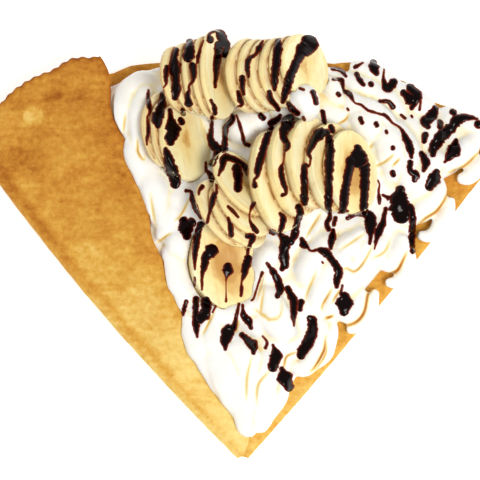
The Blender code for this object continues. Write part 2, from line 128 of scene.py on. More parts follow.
def bake(piece):
    """Replaces a piece's mesh by what its modifiers make of it."""
    depsgraph = bpy.context.evaluated_depsgraph_get()
    mesh = bpy.data.meshes.new_from_object(piece.evaluated_get(depsgraph))
    piece.modifiers.clear()
    old = piece.data
    piece.data = mesh
    mesh.name = piece.name
    if old.users == 0 and isinstance(old, bpy.types.Mesh):
        bpy.data.meshes.remove(old)
    return piece


def skin_rows(bm, rows, closed_rows=True, cap=True):
    """Joins rows of vertices into a tube or a sheet, and can cap both ends."""
    count = len(rows[0])
    last = count if closed_rows else count - 1
    for a, b in zip(rows, rows[1:]):
        for i in range(last):
            j = (i + 1) % count
            bm.faces.new((a[i], a[j], b[j], b[i]))
    if cap:
        bm.faces.new(rows[0])
        bm.faces.new(rows[-1])


def triangles(piece):
    return sum(len(p.vertices) - 2 for p in piece.data.polygons)


# %% [markdown]
# Node trees are easier to read when every node is one short line. This small builder adds
# a node, sets its options, and links or fills its inputs by name or number. Noise comes up
# often, so it has its own lines: around a half, or only what stands above a level.

# %% Node builder
class Tree:
    def __init__(self, tree):
        self.tree = tree

    def add(self, kind, inputs=None, **options):
        node = self.tree.nodes.new(kind)
        for name, value in options.items():
            setattr(node, name, value)
        for key, value in (inputs or {}).items():
            socket = node.inputs[key]
            if isinstance(value, bpy.types.NodeSocket):
                self.tree.links.new(value, socket)
            else:
                socket.default_value = value
        return node

    def math(self, operation, a, b=None, clamp=False):
        values = {0: a} if b is None else {0: a, 1: b}
        return self.add("ShaderNodeMath", values, operation=operation, use_clamp=clamp).outputs[0]

    def noise(self, where, scale, detail, **more):
        return self.add("ShaderNodeTexNoise", {"Vector": where, "Scale": scale, "Detail": detail, **more})

    def around_half(self, pattern, gain):
        """Noise as a change up or down, by half the gain at most."""
        return self.math("MULTIPLY", self.math("SUBTRACT", pattern.outputs["Fac"], 0.5), gain)

    def above(self, pattern, level, gain):
        """Only the noise that stands above a level, times the gain."""
        return self.math("MULTIPLY", self.math("SUBTRACT", pattern.outputs["Fac"], level, clamp=True), gain)

    def stretched(self, where, scale, turn=0.0):
        mapping = {"Vector": where, "Rotation": (0.0, 0.0, turn), "Scale": scale}
        return self.add("ShaderNodeMapping", mapping).outputs[0]

    def attribute(self, name, output="Fac"):
        return self.add("ShaderNodeAttribute", attribute_name=name).outputs[output]

    def named(self, name):
        return self.add("GeometryNodeInputNamedAttribute", {"Name": name}).outputs["Attribute"]

    def blur(self, value, times, kind="FLOAT"):
        return self.add("GeometryNodeBlurAttribute", {"Value": value, "Iterations": times},
                        data_type=kind).outputs[0]

    def vector(self, operation, a, b=None, scale=None):
        inputs = {0: a}
        if b is not None:
            inputs[1] = b
        if scale is not None:
            inputs["Scale"] = scale
        return self.add("ShaderNodeVectorMath", inputs, operation=operation).outputs[0]

    def ramp(self, factor, stops, interpolation="EASE"):
        node = self.add("ShaderNodeValToRGB", {0: factor})
        node.color_ramp.interpolation = interpolation
        while len(node.color_ramp.elements) < len(stops):
            node.color_ramp.elements.new(0.5)
        for element, (position, *color) in zip(node.color_ramp.elements, stops):
            element.position = position
            element.color = srgb(*color)
        return node.outputs[0]

    def blend(self, factor, a, b):
        return self.add("ShaderNodeMix", {0: factor, 6: a, 7: b}, data_type="RGBA").outputs[2]


def srgb(r, g, b):
    """A colour read as 0 to 255 on a screen, turned into light."""
    light = [((c / 255 + 0.055) / 1.055) ** 2.4 if c > 10 else c / 255 / 12.92 for c in (r, g, b)]
    return (*light, 1.0)


def shader_tree(name):
    """A new material: its tree, its Principled shader and the Object coordinates."""
    material = bpy.data.materials.new(name)
    material.use_nodes = True
    tree = Tree(material.node_tree)
    shader = material.node_tree.nodes["Principled BSDF"]
    where = tree.add("ShaderNodeTexCoord").outputs["Object"]
    return material, tree, shader, where


def feel(shader, roughness, gloss, soft=0.0, depth=(1.0, 1.0, 1.0), scale=0.0):
    """Sets how rough and glossy a food is, and how far light goes into it."""
    for name, value in (("Metallic", 0.0), ("Roughness", roughness), ("Specular IOR Level", gloss),
                        ("Subsurface Weight", soft), ("Subsurface Radius", depth),
                        ("Subsurface Scale", scale)):
        shader.inputs[name].default_value = value


def paint(tree, shader, color, height=None, strength=0.0, depth=0.0):
    """Links the colour, and a fine grain on top of the modelled form."""
    tree.tree.links.new(color, shader.inputs["Base Color"])
    if height:
        bump = tree.add("ShaderNodeBump", {"Strength": strength, "Distance": depth, "Height": height})
        tree.tree.links.new(bump.outputs[0], shader.inputs["Normal"])


# %% [markdown]
# Griddle batter browns unevenly. It is palest where the fold kept it off the plate, near
# the tip, and it has cloudy patches a finger wide, fine freckles, and a brown line along
# its cut edges. The mesh carries how toasted each place is, and noise in two sizes breaks
# that up.

# %% Crepe finish
TOAST_STOPS = (
    (0.00, 248, 219, 143),
    (0.22, 237, 200, 112),
    (0.42, 221, 168, 72),
    (0.62, 201, 136, 49),
    (0.80, 171, 101, 29),
    (1.00, 132, 66, 16),
)


def crepe_finish():
    material, tree, shader, where = shader_tree("browned_batter")
    clouds = tree.noise(where, 62.0, 5.0, Roughness=0.62, Distortion=0.6)
    freckles = tree.noise(where, 420.0, 4.0, Roughness=0.65)
    threads = tree.noise(tree.stretched(where, (110.0, 330.0, 110.0), 0.62), 1.0, 3.0, Roughness=0.6)
    level = tree.math("ADD", tree.math("ADD", tree.attribute("toast"), tree.around_half(clouds, 0.50)),
                      tree.math("ADD", tree.around_half(freckles, 0.50), tree.around_half(threads, 0.36)),
                      clamp=True)
    feel(shader, 0.66, 0.12, soft=0.12, depth=(0.004, 0.002, 0.001), scale=0.5)
    grain = tree.math("ADD", tree.math("MULTIPLY", freckles.outputs["Fac"], 0.6), threads.outputs["Fac"])
    paint(tree, shader, tree.ramp(level, TOAST_STOPS, "LINEAR"), grain, 0.35, 0.0004)
    return material


CREPE_FINISH = crepe_finish()
print("finish", CREPE_FINISH.name)

# %% [markdown]
# Ripe banana is pale yellow, moist and a little see-through. The middle of a slice is
# amber, with threads the long way of the cut, and painted shade darkens a slice where the
# next one leans on it and on its back. The slice meshes carry their own cut coordinates, so
# the pattern stays in the middle of every slice however it leans.

# %% Banana finish
FLESH_STOPS = (
    (0.00, 206, 154, 78),
    (0.12, 222, 180, 104),
    (0.28, 245, 221, 152),
    (0.55, 251, 236, 178),
    (0.88, 254, 243, 198),
    (1.00, 248, 229, 168),
)
THREAD_COLOR = srgb(226, 182, 104)
BLUSH_COLOR = srgb(230, 188, 110)
# Painted shade where one slice leans on the next
CONTACT_SHADE_COLOR = srgb(184, 128, 62)


def banana_finish():
    material, tree, shader, where = shader_tree("ripe_banana")
    cut = tree.attribute("cut", "Vector")
    across, along, _ = tree.add("ShaderNodeSeparateXYZ", {0: cut}).outputs
    # The core is a little longer than it is wide, and its edge wavers in three lobes
    wide = tree.math("POWER", tree.math("MULTIPLY", across, 1.12), 2.0)
    long = tree.math("POWER", tree.math("MULTIPLY", along, 0.86), 2.0)
    uneven = tree.around_half(tree.noise(cut, 2.4, 2.0), 0.5)
    reach = tree.math("ADD", tree.math("ADD", tree.math("SQRT", tree.math("ADD", wide, long)), uneven),
                      tree.math("MULTIPLY", tree.attribute("amber"), -0.30))
    lobes = tree.math("COSINE", tree.math("MULTIPLY", tree.math("ARCTAN2", along, across), 3.0))
    core_edge = tree.math("ADD", reach, tree.math("MULTIPLY", lobes, 0.035), clamp=True)
    threads = tree.noise(tree.stretched(cut, (9.0, 1.3, 3.0)), 1.0, 3.0, Roughness=0.6)
    patches = tree.noise(where, 150.0, 4.0)
    # Painted shade at the foot of a leaning slice, broken up by the patches
    touch = tree.math("MULTIPLY", tree.attribute("touch"),
                      tree.math("ADD", patches.outputs["Fac"], 0.35), clamp=True)
    color = tree.ramp(core_edge, FLESH_STOPS)
    for share, over in ((tree.above(threads, 0.54, 2.2), THREAD_COLOR),
                        (tree.above(patches, 0.53, 1.4), BLUSH_COLOR), (touch, CONTACT_SHADE_COLOR)):
        color = tree.blend(share, color, over)
    feel(shader, 0.38, 0.45, soft=0.12, depth=(0.004, 0.0025, 0.001), scale=0.6)
    paint(tree, shader, color, tree.noise(where, 900.0, 3.0).outputs["Fac"], 0.25, 0.0002)
    return material


BANANA_FINISH = banana_finish()
print("finish", BANANA_FINISH.name)

# %% [markdown]
# Whipped cream is white, and light goes a few millimetres into it, so its shadows are
# warm. In the picture the creases between the folds are a clear tan. The mesh stores how
# deep in a crease each vertex lies, and the finish paints tan shade into those places.

# %% Cream finish
CREAM_AND_SHADE_STOPS = (
    (0.00, 255, 254, 248),
    (0.22, 254, 246, 216),
    (0.50, 240, 212, 142),
    (0.85, 206, 144, 66),
    (1.00, 184, 116, 44),
)


def cream_finish():
    material, tree, shader, where = shader_tree("whipped_cream")
    # Painted shade: creases turn tan to brown by how deep they lie
    painted_crease_shade = tree.math("MAXIMUM", tree.math("MULTIPLY", tree.attribute("crease"), 0.4),
                        tree.attribute("line"))
    soft = tree.noise(where, 45.0, 2.0)
    depth = tree.math("MULTIPLY", painted_crease_shade, tree.math("ADD", soft.outputs["Fac"], 0.55), clamp=True)
    feel(shader, 0.42, 0.35, soft=0.35, depth=(0.006, 0.005, 0.0035), scale=0.5)
    paint(tree, shader, tree.ramp(depth, CREAM_AND_SHADE_STOPS), tree.noise(where, 700.0, 2.0).outputs["Fac"],
          0.12, 0.0002)
    return material


CREAM_FINISH = cream_finish()
print("finish", CREAM_FINISH.name)

# %% [markdown]
# Chocolate sauce is almost black where it is thick, and dark red brown at its thin edges.
# It is the smoothest surface of all, so it shows the small sharp highlights of a wet syrup.

# %% Sauce finish
SAUCE_STOPS = (
    (0.00, 158, 68, 28),
    (0.22, 108, 30, 14),
    (0.55, 54, 10, 7),
    (0.95, 13, 3, 3),
)


def sauce_finish():
    material, tree, shader, _ = shader_tree("chocolate_sauce")
    feel(shader, 0.12, 0.11)
    paint(tree, shader, tree.ramp(tree.attribute("thick"), SAUCE_STOPS))
    return material


SAUCE_FINISH = sauce_finish()
print("finish", SAUCE_FINISH.name)

# %% [markdown]
# The camera looks down from 80 degrees and stands well back with a long lens, so that
# both corners of the wedge leave the picture just as they do in the photograph. A big
# soft light from the front right, a bright sky and a floor that glows a little keep the
# shadows short and warm.

# %% Camera, floor and light
CAMERA_DISTANCE = 1.6
PICTURE_WIDTH = 0.216
LOOK_AT = Vector((0.00215, 0.004, 0.005))
FLOOR_SIZE = 3000.0
FLOOR_DROP = 0.0002
FLOOR_GLOW = 0.55
SKY_GLOW = 0.46

camera_data = bpy.data.cameras.new("camera")
camera = bpy.data.objects.new("camera", camera_data)
bpy.context.scene.collection.objects.link(camera)
camera.location = LOOK_AT + TO_CAMERA * CAMERA_DISTANCE
camera.rotation_euler = (-TO_CAMERA).to_track_quat("-Z", "Y").to_euler()
camera_data.lens = camera_data.sensor_width * CAMERA_DISTANCE / PICTURE_WIDTH
camera_data.clip_end = 20.0
bpy.context.scene.camera = camera

floor_mesh = bmesh.new()
bmesh.ops.create_grid(floor_mesh, x_segments=1, y_segments=1, size=FLOOR_SIZE)
floor = new_piece("floor", floor_mesh)
for v in floor.data.vertices:
    v.co.z = -FLOOR_DROP
floor_material = bpy.data.materials.new("pale_floor")
floor_material.use_nodes = True
floor_shader = floor_material.node_tree.nodes["Principled BSDF"]
for name, value in (("Base Color", (0.93, 0.93, 0.93, 1.0)), ("Roughness", 0.9),
                    ("Specular IOR Level", 0.1), ("Emission Color", (1.0, 1.0, 1.0, 1.0)),
                    ("Emission Strength", FLOOR_GLOW)):
    floor_shader.inputs[name].default_value = value
floor.data.materials.append(floor_material)


def soft_light(name, location, power, size, color):
    data = bpy.data.lights.new(name, "AREA")
    data.energy = power
    data.size = size
    data.color = color
    lamp = bpy.data.objects.new(name, data)
    bpy.context.scene.collection.objects.link(lamp)
    lamp.location = location
    lamp.rotation_euler = (-Vector(location)).to_track_quat("-Z", "Y").to_euler()


soft_light("window", (0.45, -0.45, 1.12), power=11.0, size=0.40, color=(1.0, 0.985, 0.95))
soft_light("fill", (-0.8, 0.5, 0.8), power=2.2, size=0.8, color=(1.0, 0.98, 0.95))

world = bpy.data.worlds.new("sky")
bpy.context.scene.world = world
world.use_nodes = True
background = world.node_tree.nodes["Background"]
background.inputs["Color"].default_value = (1.0, 0.985, 0.955, 1.0)
background.inputs["Strength"].default_value = SKY_GLOW
bpy.context.scene.view_settings.view_transform = "Standard"
bpy.context.scene.view_settings.look = "None"
print("camera", tuple(round(c, 3) for c in camera.location))

# %% [markdown]
# The crepe is one sheet of batter folded on itself: back layer, right fold, base, loose
# left fold and the flap that comes over the cream. Its section at any distance from the
# tip is one line, so the whole crepe is that line swept from tip to rim. These are the
# same sizes as the solid's, with far more steps.

# %% Crepe sizes
CREPE_RADIUS = 188.0
FLAP_RADIUS = 196.5
SHEET = 2.2
TIP_SHEET = 1.5
SHEET_GAP = 0.5
EDGE_THINNING = 0.6
TIP_START = 3.5
CREAM_START = 13.0
LEFT_FOLD = -40.4
RIGHT_FOLD = 39.4
LEFT_BULGE = 5.5
RIGHT_BULGE = 2.5
FLAP_EDGE = -22.2
FLAP_RIM_EDGE = -19.6
BACK_EDGE = -33.0
ROLL_RADIUS = 3.0
FLAP_RISE = 7.0
# Distances from the tip over which the folds open
ROLL_OPENS = 60.0
FLAP_OPENS = 110.0
RIM_FLARES_FROM = 150.0


def sheet_thickness(r):
    return mix(TIP_SHEET, SHEET, smooth((r - TIP_START) / (CREAM_START - TIP_START)))


def base_height(r):
    return 1.5 * sheet_thickness(r) + SHEET_GAP


def roll_radius(r):
    flat = (sheet_thickness(r) + SHEET_GAP) / 2
    return mix(flat, ROLL_RADIUS, smooth(r / ROLL_OPENS))


def left_fold(r):
    outline = LEFT_FOLD - LEFT_BULGE * (1.0 - r / CREPE_RADIUS)
    return outline + math.degrees((roll_radius(r) + sheet_thickness(r) / 2) / r)


def right_fold(r):
    outline = RIGHT_FOLD + RIGHT_BULGE * (1.0 - r / CREPE_RADIUS)
    return outline - math.degrees((sheet_thickness(r) + SHEET_GAP / 2) / r)


def flap_edge(r):
    wander = 0.8 * math.sin(r / 6.1) * math.sin(r / 17.0 + 1.0)
    edge = mix(FLAP_EDGE, FLAP_RIM_EDGE, smooth((r - 60.0) / 130.0)) + wander
    return mix(right_fold(r) - 12.0, edge, smooth((r - 6.0) / 28.0))


def flap_height(r, angle):
    share = (angle - left_fold(r)) / (flap_edge(r) - left_fold(r))
    rise = FLAP_RISE * smooth(r / FLAP_OPENS) * smooth(share)
    return base_height(r) + 2 * roll_radius(r) + rise


def rim_radius(angle, layer):
    wave = 1.3 * math.sin(0.31 * angle + 2.0 * layer) + 0.8 * math.sin(0.83 * angle + layer)
    nibbled = 0.7 * math.sin(2.9 * angle + layer) * math.sin(1.7 * angle)
    return (CREPE_RADIUS - 2.0, CREPE_RADIUS, FLAP_RADIUS)[layer] + wave + nibbled


# %% Crepe section and sweep
BACK_STEPS, BASE_STEPS, TURN_STEPS, ROLL_STEPS, FLAP_STEPS = 16, 64, 8, 12, 64
RING_STEP = 1.35
TIP_RING_STEP = 0.7
RIM_RINGS = (4.0, 2.6, 1.2)


def fold_section(r):
    """Points (angle, height, layer, share across the flap) along the folded sheet."""
    half = sheet_thickness(r) / 2
    line = []
    back_edge = mix(right_fold(r) - 18.0, BACK_EDGE, smooth((r - 6.0) / 30.0))
    for i in range(BACK_STEPS):
        line.append((mix(back_edge, right_fold(r), i / (BACK_STEPS - 1)), half, 0, 0.0))
    turn = (base_height(r) - half) / 2
    for k in range(1, TURN_STEPS):
        a = math.pi * k / TURN_STEPS
        line.append((right_fold(r) + math.degrees(turn * math.sin(a) / r),
                     half + turn * (1 - math.cos(a)), 1, 0.0))
    for i in range(BASE_STEPS):
        line.append((mix(right_fold(r), left_fold(r), i / (BASE_STEPS - 1)), base_height(r), 1, 0.0))
    roll = roll_radius(r)
    for k in range(1, ROLL_STEPS):
        a = math.pi * k / ROLL_STEPS
        line.append((left_fold(r) - math.degrees(roll * math.sin(a) / r),
                     base_height(r) + roll * (1 - math.cos(a)), 2, 0.0))
    for i in range(FLAP_STEPS):
        share = i / (FLAP_STEPS - 1)
        angle = mix(left_fold(r), flap_edge(r), share)
        line.append((angle, flap_height(r, angle), 2, share))
    return line


def thick_section(r, line, half):
    flat = [(math.radians(angle) * r, z) for angle, z, *_ in line]
    sides = []
    for i, (x, z) in enumerate(flat):
        before = flat[max(0, i - 1)]
        after = flat[min(len(flat) - 1, i + 1)]
        along = Vector((after[0] - before[0], after[1] - before[1])).normalized()
        normal = Vector((-along.y, along.x)) * half
        sides.append(((x + normal.x, z + normal.y), (x - normal.x, z - normal.y)))
    return sides


# Places on the flap that browned more, or less, than the rest: pixel, reach, how much
TOAST_SPOTS = (
    ((52, 95), 10, 0.20), ((84, 92), 9, 0.14), ((72, 101), 9, 0.14), ((60, 78), 16, 0.08),
    ((30, 150), 22, 0.08), ((90, 130), 20, 0.03), ((118, 118), 16, 0.02), ((60, 190), 18, 0.06),
    ((120, 260), 16, 0.04), ((75, 240), 14, 0.05), ((130, 200), 14, 0.00), ((12, 100), 14, 0.05),
)
PALE_DISC = ((33, 114), 9.0)
FLAP_HEIGHT_GUESS = 13.0
# Widths of the darker band along the fold and the brown line along the rim, and the free edge's as a share
# of the flap
FOLD_LINE = 3.6
RIM_LINE = 2.2
FREE_LINE = 0.025
# How toasted the batter is at the tip and at the rim, and what each of these adds or takes away
TIP_TOAST = 0.10
RIM_TOAST = 0.56
PATCH_TOAST = 0.08
FREE_HALF_TOAST = 0.13
# Darker along the left fold, more on the flap than on the layers under it
FOLD_DARKENING = 0.20
UNDER_FOLD_DARKENING = 0.08
EDGE_TOAST = 0.22
DISC_PALER = 0.20


def toast_level(point, layer, share, r):
    """How browned the batter is at a plan point, from 0, pale, to 1, dark."""
    level = mix(TIP_TOAST, RIM_TOAST, smooth(r / 175.0) ** 0.9)
    level += PATCH_TOAST * noise.noise(Vector((point.x, point.y, 3.0 * layer)) * 0.035)
    if layer != 2:
        return level * 0.55 + 0.27
    level += FREE_HALF_TOAST * smooth((share - 0.55) / 0.45) * smooth(r / 150.0)
    for (x, y), reach, change in TOAST_SPOTS:
        away = (point.xy - from_picture(x, y, FLAP_HEIGHT_GUESS).xy).length / (reach * PIXEL)
        level += change * math.exp(-away * away)
    disc = (point.xy - from_picture(*PALE_DISC[0], FLAP_HEIGHT_GUESS).xy).length
    level -= DISC_PALER * (1.0 - smooth((disc - PALE_DISC[1] * PIXEL) / 0.9))
    return level


def make_crepe():
    bm = bmesh.new()
    toast = bm.verts.layers.float.new("toast")
    loose = bm.verts.layers.float.new("loose")
    rings = [TIP_START]
    while rings[-1] < CREPE_RADIUS - RING_STEP:
        rings.append(rings[-1] + mix(TIP_RING_STEP, RING_STEP, smooth(rings[-1] / 30.0)))
    rings = [r for r in rings if r < CREPE_RADIUS - RIM_RINGS[0] - 0.8]
    rings += [CREPE_RADIUS - back for back in RIM_RINGS] + [None]
    rows = []
    for ring in rings:
        r = ring or CREPE_RADIUS
        line = fold_section(r)
        half = sheet_thickness(r) / 2 * (1.0 if ring else EDGE_THINNING)
        row = []
        for (*_, layer, share), pair in zip(line, thick_section(r, line, half)):
            ends = []
            for x, z in pair:
                angle = math.degrees(x / r)
                edge = rim_radius(angle, layer)
                # The last rings stretch out to each layer's own wavy rim
                flare = smooth((r - RIM_FLARES_FROM) / (CREPE_RADIUS - RIM_FLARES_FROM))
                out = mix(r, edge * r / CREPE_RADIUS, flare)
                v = bm.verts.new(polar(out, angle, z))
                level = toast_level(v.co, layer, share, out)
                flap = layer == 2
                from_fold = abs(math.radians(angle - left_fold(r))) * r
                level += (FOLD_DARKENING if flap else UNDER_FOLD_DARKENING) * max(0.0, 1.0 - from_fold / FOLD_LINE)
                rim_line = smooth(1.0 - (edge - out) / RIM_LINE)
                free_line = smooth(1.0 - (1.0 - share) / FREE_LINE)
                v[toast] = level + (EDGE_TOAST * max(rim_line, 0.6 * free_line) if flap else 0.0)
                v[loose] = smooth(share * 3.0) if flap else 0.0
                ends.append(v)
            row.append(ends)
        rows.append([ends[0] for ends in row] + [ends[1] for ends in reversed(row)])
    skin_rows(bm, rows, cap=False)
    for row in (rows[0], rows[-1]):
        count = len(row)
        for i in range(count // 2 - 1):
            bm.faces.new((row[i], row[i + 1], row[count - 2 - i], row[count - 1 - i]))
    return new_piece("crepe_sheet", bm, CREPE_FINISH)


crepe_sheet = make_crepe()
print("crepe sheet", triangles(crepe_sheet), "triangles")

# %% [markdown]
# Real batter isn't flat: it has blisters a few millimetres wide and lies in slow waves.
# A Geometry Nodes tree moves the surface by noise, so the relief is real geometry. The
# waves lift both faces of the loose flap together, and the blisters push outwards.

# %% Blisters and waves
def group_tree(name, inputs):
    """A new Geometry Nodes tree with named inputs after its geometry."""
    tree = bpy.data.node_groups.new(name, "GeometryNodeTree")
    sockets = {}
    tree.interface.new_socket("Geometry", in_out="INPUT", socket_type="NodeSocketGeometry")
    for label, kind in inputs:
        socket = tree.interface.new_socket(label, in_out="INPUT", socket_type="NodeSocket" + kind)
        sockets[label] = socket.identifier
    tree.interface.new_socket("Geometry", in_out="OUTPUT", socket_type="NodeSocketGeometry")
    build = Tree(tree)
    start = build.add("NodeGroupInput")
    return build, start, sockets


def end_tree(build, geometry, material):
    """Realizes what the tree made, sets its finish and ends the tree."""
    real = build.add("GeometryNodeRealizeInstances", {0: geometry})
    smooth_faces = build.add("GeometryNodeSetShadeSmooth", {0: real.outputs[0]})
    finished = build.add("GeometryNodeSetMaterial", {0: smooth_faces.outputs[0], "Material": material})
    build.add("NodeGroupOutput", {0: finished.outputs[0]})


def apply_tree(piece, build, sockets, values):
    modifier = piece.modifiers.new("nodes", "NODES")
    modifier.node_group = build.tree
    for label, value in values.items():
        modifier[sockets[label]] = value
    return bake(piece)


def batter_relief():
    build, start, sockets = group_tree("batter relief", (
        ("Blister height", "Float"), ("Blister size", "Float"),
        ("Wave height", "Float"), ("Wave length", "Float")))
    where = build.add("GeometryNodeInputPosition").outputs[0]
    normal = build.add("GeometryNodeInputNormal").outputs[0]
    flat = build.vector("MULTIPLY", where, (1.0, 1.0, 0.0))
    blisters = build.noise(where, build.math("DIVIDE", 1.0, start.outputs["Blister size"]), 2.0,
                           Roughness=0.55)
    waves = build.noise(flat, build.math("DIVIDE", 1.0, start.outputs["Wave length"]), 1.0)
    wave_height = build.math("MULTIPLY", start.outputs["Wave height"], build.named("loose"))
    up = build.around_half(waves, wave_height)
    out = build.around_half(blisters, start.outputs["Blister height"])
    offset = build.vector("ADD", build.vector("SCALE", normal, scale=out),
                          build.add("ShaderNodeCombineXYZ", {2: up}).outputs[0])
    moved = build.add("GeometryNodeSetPosition", {0: start.outputs[0], "Offset": offset})
    end_tree(build, moved.outputs[0], CREPE_FINISH)
    return build, sockets


relief, relief_sockets = batter_relief()
apply_tree(crepe_sheet, relief, relief_sockets, {
    "Blister height": 0.0007, "Blister size": 0.0045, "Wave height": 0.0032, "Wave length": 0.026})
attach(crepe_sheet, "root")
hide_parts("crepe")
print("crepe sheet box", [round(c * 1000, 1) for c in crepe_sheet.dimensions])

# %% [markdown]
# The bananas were cut slantwise, so each slice is an oval, and the slices lean on each
# other in short rows like fallen dominoes. The table gives where each row starts, the step
# from one slice to the next, and how the slices lean.

# %% Banana rows
GAP = 0.3
THICKEST = 6.0
Slice = namedtuple("Slice", "name centre thickness length width lean facing turn")
Fan = namedtuple("Fan", "name lean facing first thickness steps length width turn")

FANS = (
    Fan("left", 42, 7, (-34.0, 148.7, 20.8), 3.7,
        ((3.9, 3.6, 1.8), (3.9, 3.8, 1.8)),
        (17.0, 17.8), (13.0, 13.4), (-6, 4)),
    Fan("upper", 56, 5, (-27.0, 168.6, 35.2), 4.0,
        ((4.6, -0.2, -0.4), (4.4, 0.2, -0.4), (4.2, 0.2, -0.4), (4.0, -1.0, -0.4)),
        (14.8, 20.0), (12.0, 13.5), (8, -4)),
    Fan("top", 45, 4, (3.9, 170.6, 32.6), 3.5,
        ((4.9, 0.2, 0.0), (4.9, -0.2, 0.0), (4.9, -0.6, 0.0), (4.8, -1.0, 0.0), (4.9, -1.2, 0.0)),
        (16.8, 14.8), (14.0, 14.4), (-4, -8)),
    Fan("right", 41, 3, (16.4, 123.4, 29.6), 5.0,
        ((8.1, -5.4, 0.0), (8.1, -2.0, 0.0), (9.4, 2.4, 0.0), (7.3, 2.6, 0.0)),
        (22.5, 18.8), (14.6, 14.6), (9, -2)),
    Fan("middle", 43, 33, (-7.6, 109.4, 29.0), 3.2,
        ((4.6, 4.0, 0.0), (4.6, -3.0, 0.0), (4.8, -8.0, 0.0)),
        (17.0, 17.0), (12.5, 12.5), (0, 10)),
    Fan("lower", 16, -12, (-9.8, 88.2, 13.2), 4.0,
        ((1.6, 0.0, 4.0), (1.6, 0.0, 4.0)),
        (19.0, 20.0), (15.0, 16.5), (22, 22)),
)


def fan_slices(fan):
    lean, facing = math.radians(fan.lean), math.radians(fan.facing)
    centre = Vector(fan.first)
    thickness = fan.thickness
    count = len(fan.steps) + 1
    for k in range(count):
        if k:
            along, across, up = fan.steps[k - 1]
            centre = centre + Vector((
                along * math.cos(facing) + across * math.sin(facing),
                along * math.sin(facing) - across * math.cos(facing), up))
            thickness = min(THICKEST, along * math.sin(lean) + up * math.cos(lean) - GAP)
        share = k / (count - 1)
        yield Slice(f"banana_{fan.name}_{k + 1}", centre.copy(), thickness,
                    mix(*fan.length, share), mix(*fan.width, share), fan.lean, fan.facing,
                    mix(*fan.turn, share))


def slice_matrix(s):
    """Local X runs down the slope of the face, local Z out of the face."""
    return (Matrix.Translation(s.centre)
            @ Matrix.Rotation(math.radians(s.facing), 4, "Z")
            @ Matrix.Rotation(math.radians(s.lean), 4, "Y")
            @ Matrix.Rotation(math.radians(s.turn), 4, "Z"))


def slice_outline(s, angle):
    seed = s.centre.x + 2 * s.centre.y
    uneven = 1.0 + 0.014 * math.sin(2 * angle + seed) + 0.010 * math.sin(5 * angle + 2 * seed)
    return Vector((s.width * uneven * math.cos(angle), s.length * uneven * math.sin(angle), 0.0))


SLICES = [s for fan in FANS for s in fan_slices(fan)]
print(len(SLICES), "slices")

# %% [markdown]
# A slice is rings of points: out across the back, round the rim, and back in over the cut
# face. A knife leaves a fairly sharp edge. The face is dished a little where the soft core
# sank, it carries faint rays, and the rim shows the lengthwise threads of the fruit.

# %% Banana slices
SLICE_STEPS = 96
FACE_RINGS = 19
FACE_EDGE = 0.972
FACE_MIDDLE = 0.012
NEIGHBOUR_REACH = 36.0
# Reach of the painted shade at the foot of a leaning slice, and how far off its face it counts
CONTACT_SHADE_REACH = 0.8
CONTACT_SHADE_ABOVE = 0.6
CONTACT_SHADE_BELOW = 1.6
DISH_DEPTH = 0.34
LOBE_HEIGHT = 0.10
RAY_HEIGHT = 0.05
DENT_DEPTH = 0.16
THREAD_DEPTH = 0.0028
# Painted shade on the back of every slice and the back part of its rim
BACK_SHADE = 0.6
AMBER_SLICES = ("banana_right_5", "banana_right_4", "banana_lower_3")


def slice_rings(s):
    """(share of the outline, height) of each ring, from the back's middle to the face's."""
    t = s.thickness
    rings = [(0.02, -t), (0.5, -t), (0.9, -t)]
    rings += [(0.965, -t + 0.05), (0.99, -t + 0.35)]
    rings += [(1.008, -t * 0.72), (1.012, -t * 0.5), (1.008, -t * 0.25)]
    rings += [(1.001, -0.42), (0.999, -0.2), (0.992, -0.07), (0.98, -0.01)]
    rings += [(mix(FACE_EDGE, FACE_MIDDLE, k / (FACE_RINGS - 1)), 0.0) for k in range(FACE_RINGS)]
    return rings


def contact_shade_level(point, others):
    """How much painted shade a point gets for lying close to the foot of a slice that leans on this one: 1
    is at the foot.
    """
    level = 0.0
    for inverse, other in others:
        at = inverse @ point
        if -other.thickness - CONTACT_SHADE_BELOW < at.z < CONTACT_SHADE_ABOVE:
            out = math.hypot(at.x / other.width, at.y / other.length) - 1.0
            if out > -0.02:
                level = max(level, math.exp(-out * other.width / CONTACT_SHADE_REACH))
    return level


